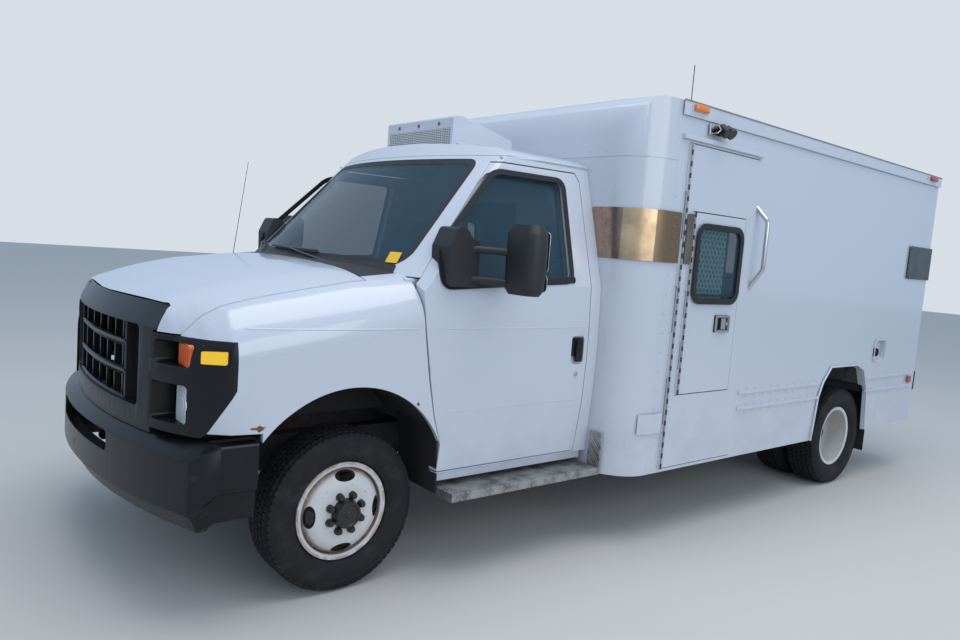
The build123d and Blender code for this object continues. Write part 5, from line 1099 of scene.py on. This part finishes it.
for side, word in SIDES:
    seal = bmesh.new()
    outline = []
    for setback, z in WINDOW:
        away = Vector((setback - WINDOW_MIDDLE[0], z - WINDOW_MIDDLE[1])).normalized() * SEAL_REACH
        outline.append(door_skin(FRONT_X - setback - away.x, z + away.y, side, 0.0005))
    framed(seal, outline, 0.062, 0.030, (0, side * 0.006, 0))
    finished(f"window_seal_{word}", seal, f"cab_door_{word}", SEAL, rounded=0.002)
    belt = bmesh.new()
    ends = [door_skin(FRONT_X - setback, z, side, 0.004) for setback, z in BELT_ENDS]
    ends[0].y = side * 1.0005
    low = [end + Vector((0, 0, -0.016)) for end in ends]
    high = [end + Vector((0, -side * 0.004, 0.018)) for end in reversed(ends)]
    plate(belt, low + high, 0.013, (0, side * 0.008, 0))
    finished(f"belt_strip_{word}", belt, f"cab_door_{word}", SEAL, rounded=0.0025)
    moulding = bmesh.new()
    swept(moulding, [(FRONT_X - setback, side * y, z) for setback, y, z in MOULDING], 0.0065, segments=8)
    finished(f"drip_moulding_{word}", moulding, "chassis", WHITE, smooth=50.0)
    lock = bmesh.new()
    rod(lock, (LOCK_X, side * 1.0065, LOCK_Z), (LOCK_X, side * 1.0125, LOCK_Z), 0.013, 0.011, segments=20)
    slab(lock, (FRONT_X - 1.2985, FRONT_X - 1.2935), (side * 1.0120, side * 1.0133), (0.928, 0.944))
    finished(f"door_lock_{word}", lock, f"cab_door_{word}", STEEL)
    glass = bmesh.new()
    face_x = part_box(f"mirror_{word}")[0].x + 0.0025
    for heights in MIRROR_Z:
        plate(glass, on_end(side * 1.125, side * 1.300, *heights, face_x), 0.02, (-0.003, 0, 0))
    finished(f"mirror_glass_{word}", glass, f"cab_door_{word}", MIRROR_GLASS, rounded=0.001)

# Lamps in the bezels: dark backs, ribbed amber lenses above and clear ones with a bright bowl below
LAMP_BACK_X = FRONT_X + 0.622
RIB_X = LAMP_BACK_X + 0.058
POCKETS = ((0.648, 0.842, 1.020, 1.112), (0.648, 0.832, 0.796, 0.950))
nose_lamps = bmesh.new()
for side, word in SIDES:
    for k, (y0, y1, z0, z1) in enumerate(POCKETS):
        middle = y0 + 0.42 * (y1 - y0)
        slab(nose_lamps, (LAMP_BACK_X + 0.0005, LAMP_BACK_X + 0.006), (side * (y0 + 0.001), side * middle),
             (z0 + 0.001, z1 - 0.001))
        plate(nose_lamps, on_end(side * (middle - 0.002), side * (y1 - 0.001), z0 + 0.001, z1 - 0.001,
                                 LAMP_BACK_X + 0.0005), 0.014, (0.058, 0, 0), finish=k + 1)
        for rib in range(0 if k else 5):
            y = side * (middle + 0.012 + rib * 0.021)
            rod(nose_lamps, (RIB_X, y, z0 + 0.006), (RIB_X, y, z1 - 0.006), 0.004, finish=1, segments=8)
        y, z = side * (middle + 0.060), (z0 + z1) / 2
        for radius, reach in ((0.055, 0.0600), (0.034, 0.0620)) if k else ():
            rod(nose_lamps, (LAMP_BACK_X + 0.02, y, z), (LAMP_BACK_X + reach, y, z), radius, radius * 0.94,
                finish=2, segments=28)
finished("nose_lamp_lenses", nose_lamps, "chassis", BEZEL, LAMP_AMBER, CLEAR, rounded=0.0015,
         replaces=["headlamps"])

# Side markers on the bezels' outer faces, set along the face: a lens and a thinner rim round it
MARKER_BACK = Vector((2.783, 0.952))
MARKER_FRONT = Vector((2.853, 0.876))
MARKER_RIM = 0.006
along = (MARKER_FRONT - MARKER_BACK).normalized()
out = Vector((abs(along.y), abs(along.x)))
for side, word in SIDES:
    marker = bmesh.new()
    lens = [(p.x, side * p.y, z) for p, z in ((MARKER_BACK, 1.050), (MARKER_FRONT, 1.046),
                                              (MARKER_FRONT, 1.094), (MARKER_BACK, 1.100))]
    plate(marker, lens, 0.005, (out.x * 0.022, side * out.y * 0.022, 0))
    back, ahead = MARKER_BACK - along * MARKER_RIM, MARKER_FRONT + along * MARKER_RIM
    rim = [(p.x + out.x * 0.001, side * (p.y + out.y * 0.001), z)
           for p, z in ((back, 1.044), (ahead, 1.040), (ahead, 1.100), (back, 1.106))]
    plate(marker, rim, 0.007, (out.x * 0.010, side * out.y * 0.010, 0), finish=1)
    finished(f"side_marker_{word}", marker, "chassis", SIDE_AMBER, BEZEL)

# Guards behind the front tyres, from the arch down to the sill, as (distance from the axle, height)
GUARD = ((-0.392, 0.745), (-0.412, 0.690), (-0.424, 0.620), (-0.430, 0.540), (-0.434, 0.405))
GUARD_Y = 0.66
GUARD_WIDTH = 0.322
for side, word in SIDES:
    guard = bmesh.new()
    verts = [guard.verts.new((FRONT_X + ahead, side * GUARD_Y, z)) for ahead, z in GUARD]
    edges = [guard.edges.new(pair) for pair in zip(verts, verts[1:])]
    moved(guard, bmesh.ops.extrude_edge_only(guard, edges=edges)["geom"], (0, side * GUARD_WIDTH, 0))
    bmesh.ops.recalc_face_normals(guard, faces=guard.faces)
    bmesh.ops.solidify(guard, geom=list(guard.faces), thickness=0.006)
    finished(f"tyre_guard_{word}", guard, "chassis", FLAP, smooth=45.0)


# Body lines along the cab's flanks, and the sill under each door
UPPER_LINE_Z = 1.185
LOWER_LINE_Z = 0.795
UPPER_LINE = 0.0050
LOWER_LINE = 0.0042
LINE_STEPS = 14
LINE_DEPTH = 0.0032


def flank_line(node, side, z, start, end):
    """Places along a solid's outer face at one height, a little below the surface."""
    form = bmesh.new()
    form.from_mesh(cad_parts[node].data)
    tree = BVHTree.FromBMesh(form)
    form.free()
    places = []
    for k in range(LINE_STEPS + 1):
        x = start + (end - start) * k / LINE_STEPS
        hit = tree.ray_cast(Vector((x, side * 3.0, z)), Vector((0, -side, 0)))[0]
        if hit is not None and abs(hit.y) > 0.85:
            places.append(hit - Vector((0, side * LINE_DEPTH, 0)))
    return places


for side, word in SIDES:
    door_low, door_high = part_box(f"door_{word}")
    for name, node, body, upper, lower in (
        ("fender_lines", "fenders", "chassis", (2.72, door_high.x + 0.012), (1.905, door_high.x + 0.010)),
        ("door_lines", f"door_{word}", f"cab_door_{word}", (door_high.x - 0.008, door_low.x + 0.008),
         (door_high.x - 0.02, door_low.x + 0.03)),
    ):
        crease = bmesh.new()
        for z, ends, radius in ((UPPER_LINE_Z, upper, UPPER_LINE), (LOWER_LINE_Z, lower, LOWER_LINE)):
            places = flank_line(node, side, z, *ends)
            if len(places) > 2:
                swept(crease, places, radius)
        finished(f"{name}_{word}", crease, body, WHITE, smooth=60.0)
    sill = bmesh.new()
    slab(sill, (BOX_FRONT + 0.03, FRONT_X - 0.442), (side * 0.90, side * 0.968),
         (door_low.z - 0.055, door_low.z - 0.012), corner=0.004)
    # The filler at the foot of the windscreen pillar
    slab(sill, (FRONT_X - 0.334, FRONT_X - 0.240), (side * 0.80, side * 0.902), (1.345, 1.403), corner=0.01)
    finished(f"door_sill_{word}", sill, "chassis", WHITE)

# Rubber pads on the rear corners, under the round lamps
pads = bmesh.new()
for side, word in SIDES:
    slab(pads, (BOX_BACK - 0.050, BOX_BACK - 0.0005), (side * 1.160, side * 1.216), (0.645, 0.805),
         corner=0.010)
finished("rear_corner_pads", pads, "chassis", FLAP, rounded=0.002)

# Floor, lights and the camera at the photograph's viewpoint
CAMERA_PLACE = (3.871, 3.713, 1.567)
CAMERA_YAW = radians(-129.84)
CAMERA_PITCH = radians(-5.53)
CAMERA_ROLL = radians(4.45)
CAMERA_LENS = 28.26
FLOOR_HALF = 40.0


def floor():
    ground = Finish("pale_floor", (0.60, 0.575, 0.54), 0.9)
    mesh = bmesh.new()
    bmesh.ops.create_grid(mesh, x_segments=1, y_segments=1, size=FLOOR_HALF)
    data = bpy.data.meshes.new("studio_floor")
    mesh.to_mesh(data)
    mesh.free()
    data.materials.append(ground.material)
    piece = bpy.data.objects.new("studio_floor", data)
    scene.collection.objects.link(piece)
    piece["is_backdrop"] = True


def sky():
    """An even soft light, and a pale backdrop to the camera's own rays."""
    world = bpy.data.worlds.new("studio")
    world.use_nodes = True
    scene.world = world
    tree = world.node_tree
    soft = tree.nodes["Background"]
    pale = tree.nodes.new("ShaderNodeBackground")
    lights = ((soft, (0.60, 0.77, 1.0, 1.0), 0.72), (pale, (0.80, 0.86, 0.93, 1.0), 0.85))
    for light, color, strength in lights:
        light.inputs["Color"].default_value = color
        light.inputs["Strength"].default_value = strength
    path = tree.nodes.new("ShaderNodeLightPath")
    choice = tree.nodes.new("ShaderNodeMixShader")
    shares = (path.outputs["Is Camera Ray"], soft.outputs[0], pale.outputs[0])
    for socket, source in zip(choice.inputs, shares):
        tree.links.new(source, socket)
    tree.links.new(choice.outputs[0], tree.nodes["World Output"].inputs["Surface"])


def area_light(name, place, target, size, power, color):
    light = bpy.data.lights.new(name, "AREA")
    light.shape = "RECTANGLE"
    light.size, light.size_y = size
    light.energy = power
    light.color = color
    lamp = bpy.data.objects.new(name, light)
    lamp.location = place
    lamp.rotation_euler = (Vector(target) - Vector(place)).to_track_quat("-Z", "Y").to_euler()
    scene.collection.objects.link(lamp)


def camera():
    lens = bpy.data.cameras.new("camera")
    lens.sensor_width = 36.0
    lens.lens = CAMERA_LENS
    eye = bpy.data.objects.new("camera", lens)
    level = cos(CAMERA_PITCH)
    ahead = Vector((cos(CAMERA_YAW) * level, sin(CAMERA_YAW) * level, sin(CAMERA_PITCH)))
    right = ahead.cross(Vector((0, 0, 1))).normalized()
    up = right.cross(ahead)
    turned_right = cos(CAMERA_ROLL) * right + sin(CAMERA_ROLL) * up
    turned_up = cos(CAMERA_ROLL) * up - sin(CAMERA_ROLL) * right
    turn = Matrix((turned_right, turned_up, -ahead)).transposed().to_4x4()
    eye.matrix_world = Matrix.Translation(CAMERA_PLACE) @ turn
    scene.collection.objects.link(eye)
    scene.camera = eye


floor()
sky()
area_light("overhead", (1.0, 2.0, 9.0), (0.0, 0.0, 1.0), (9.0, 7.0), 430.0, (1.0, 0.98, 0.95))
area_light("left_side", (2.0, 9.0, 4.0), (0.0, 0.0, 1.2), (8.0, 4.0), 170.0, (0.97, 0.98, 1.0))
camera()

low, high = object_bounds()
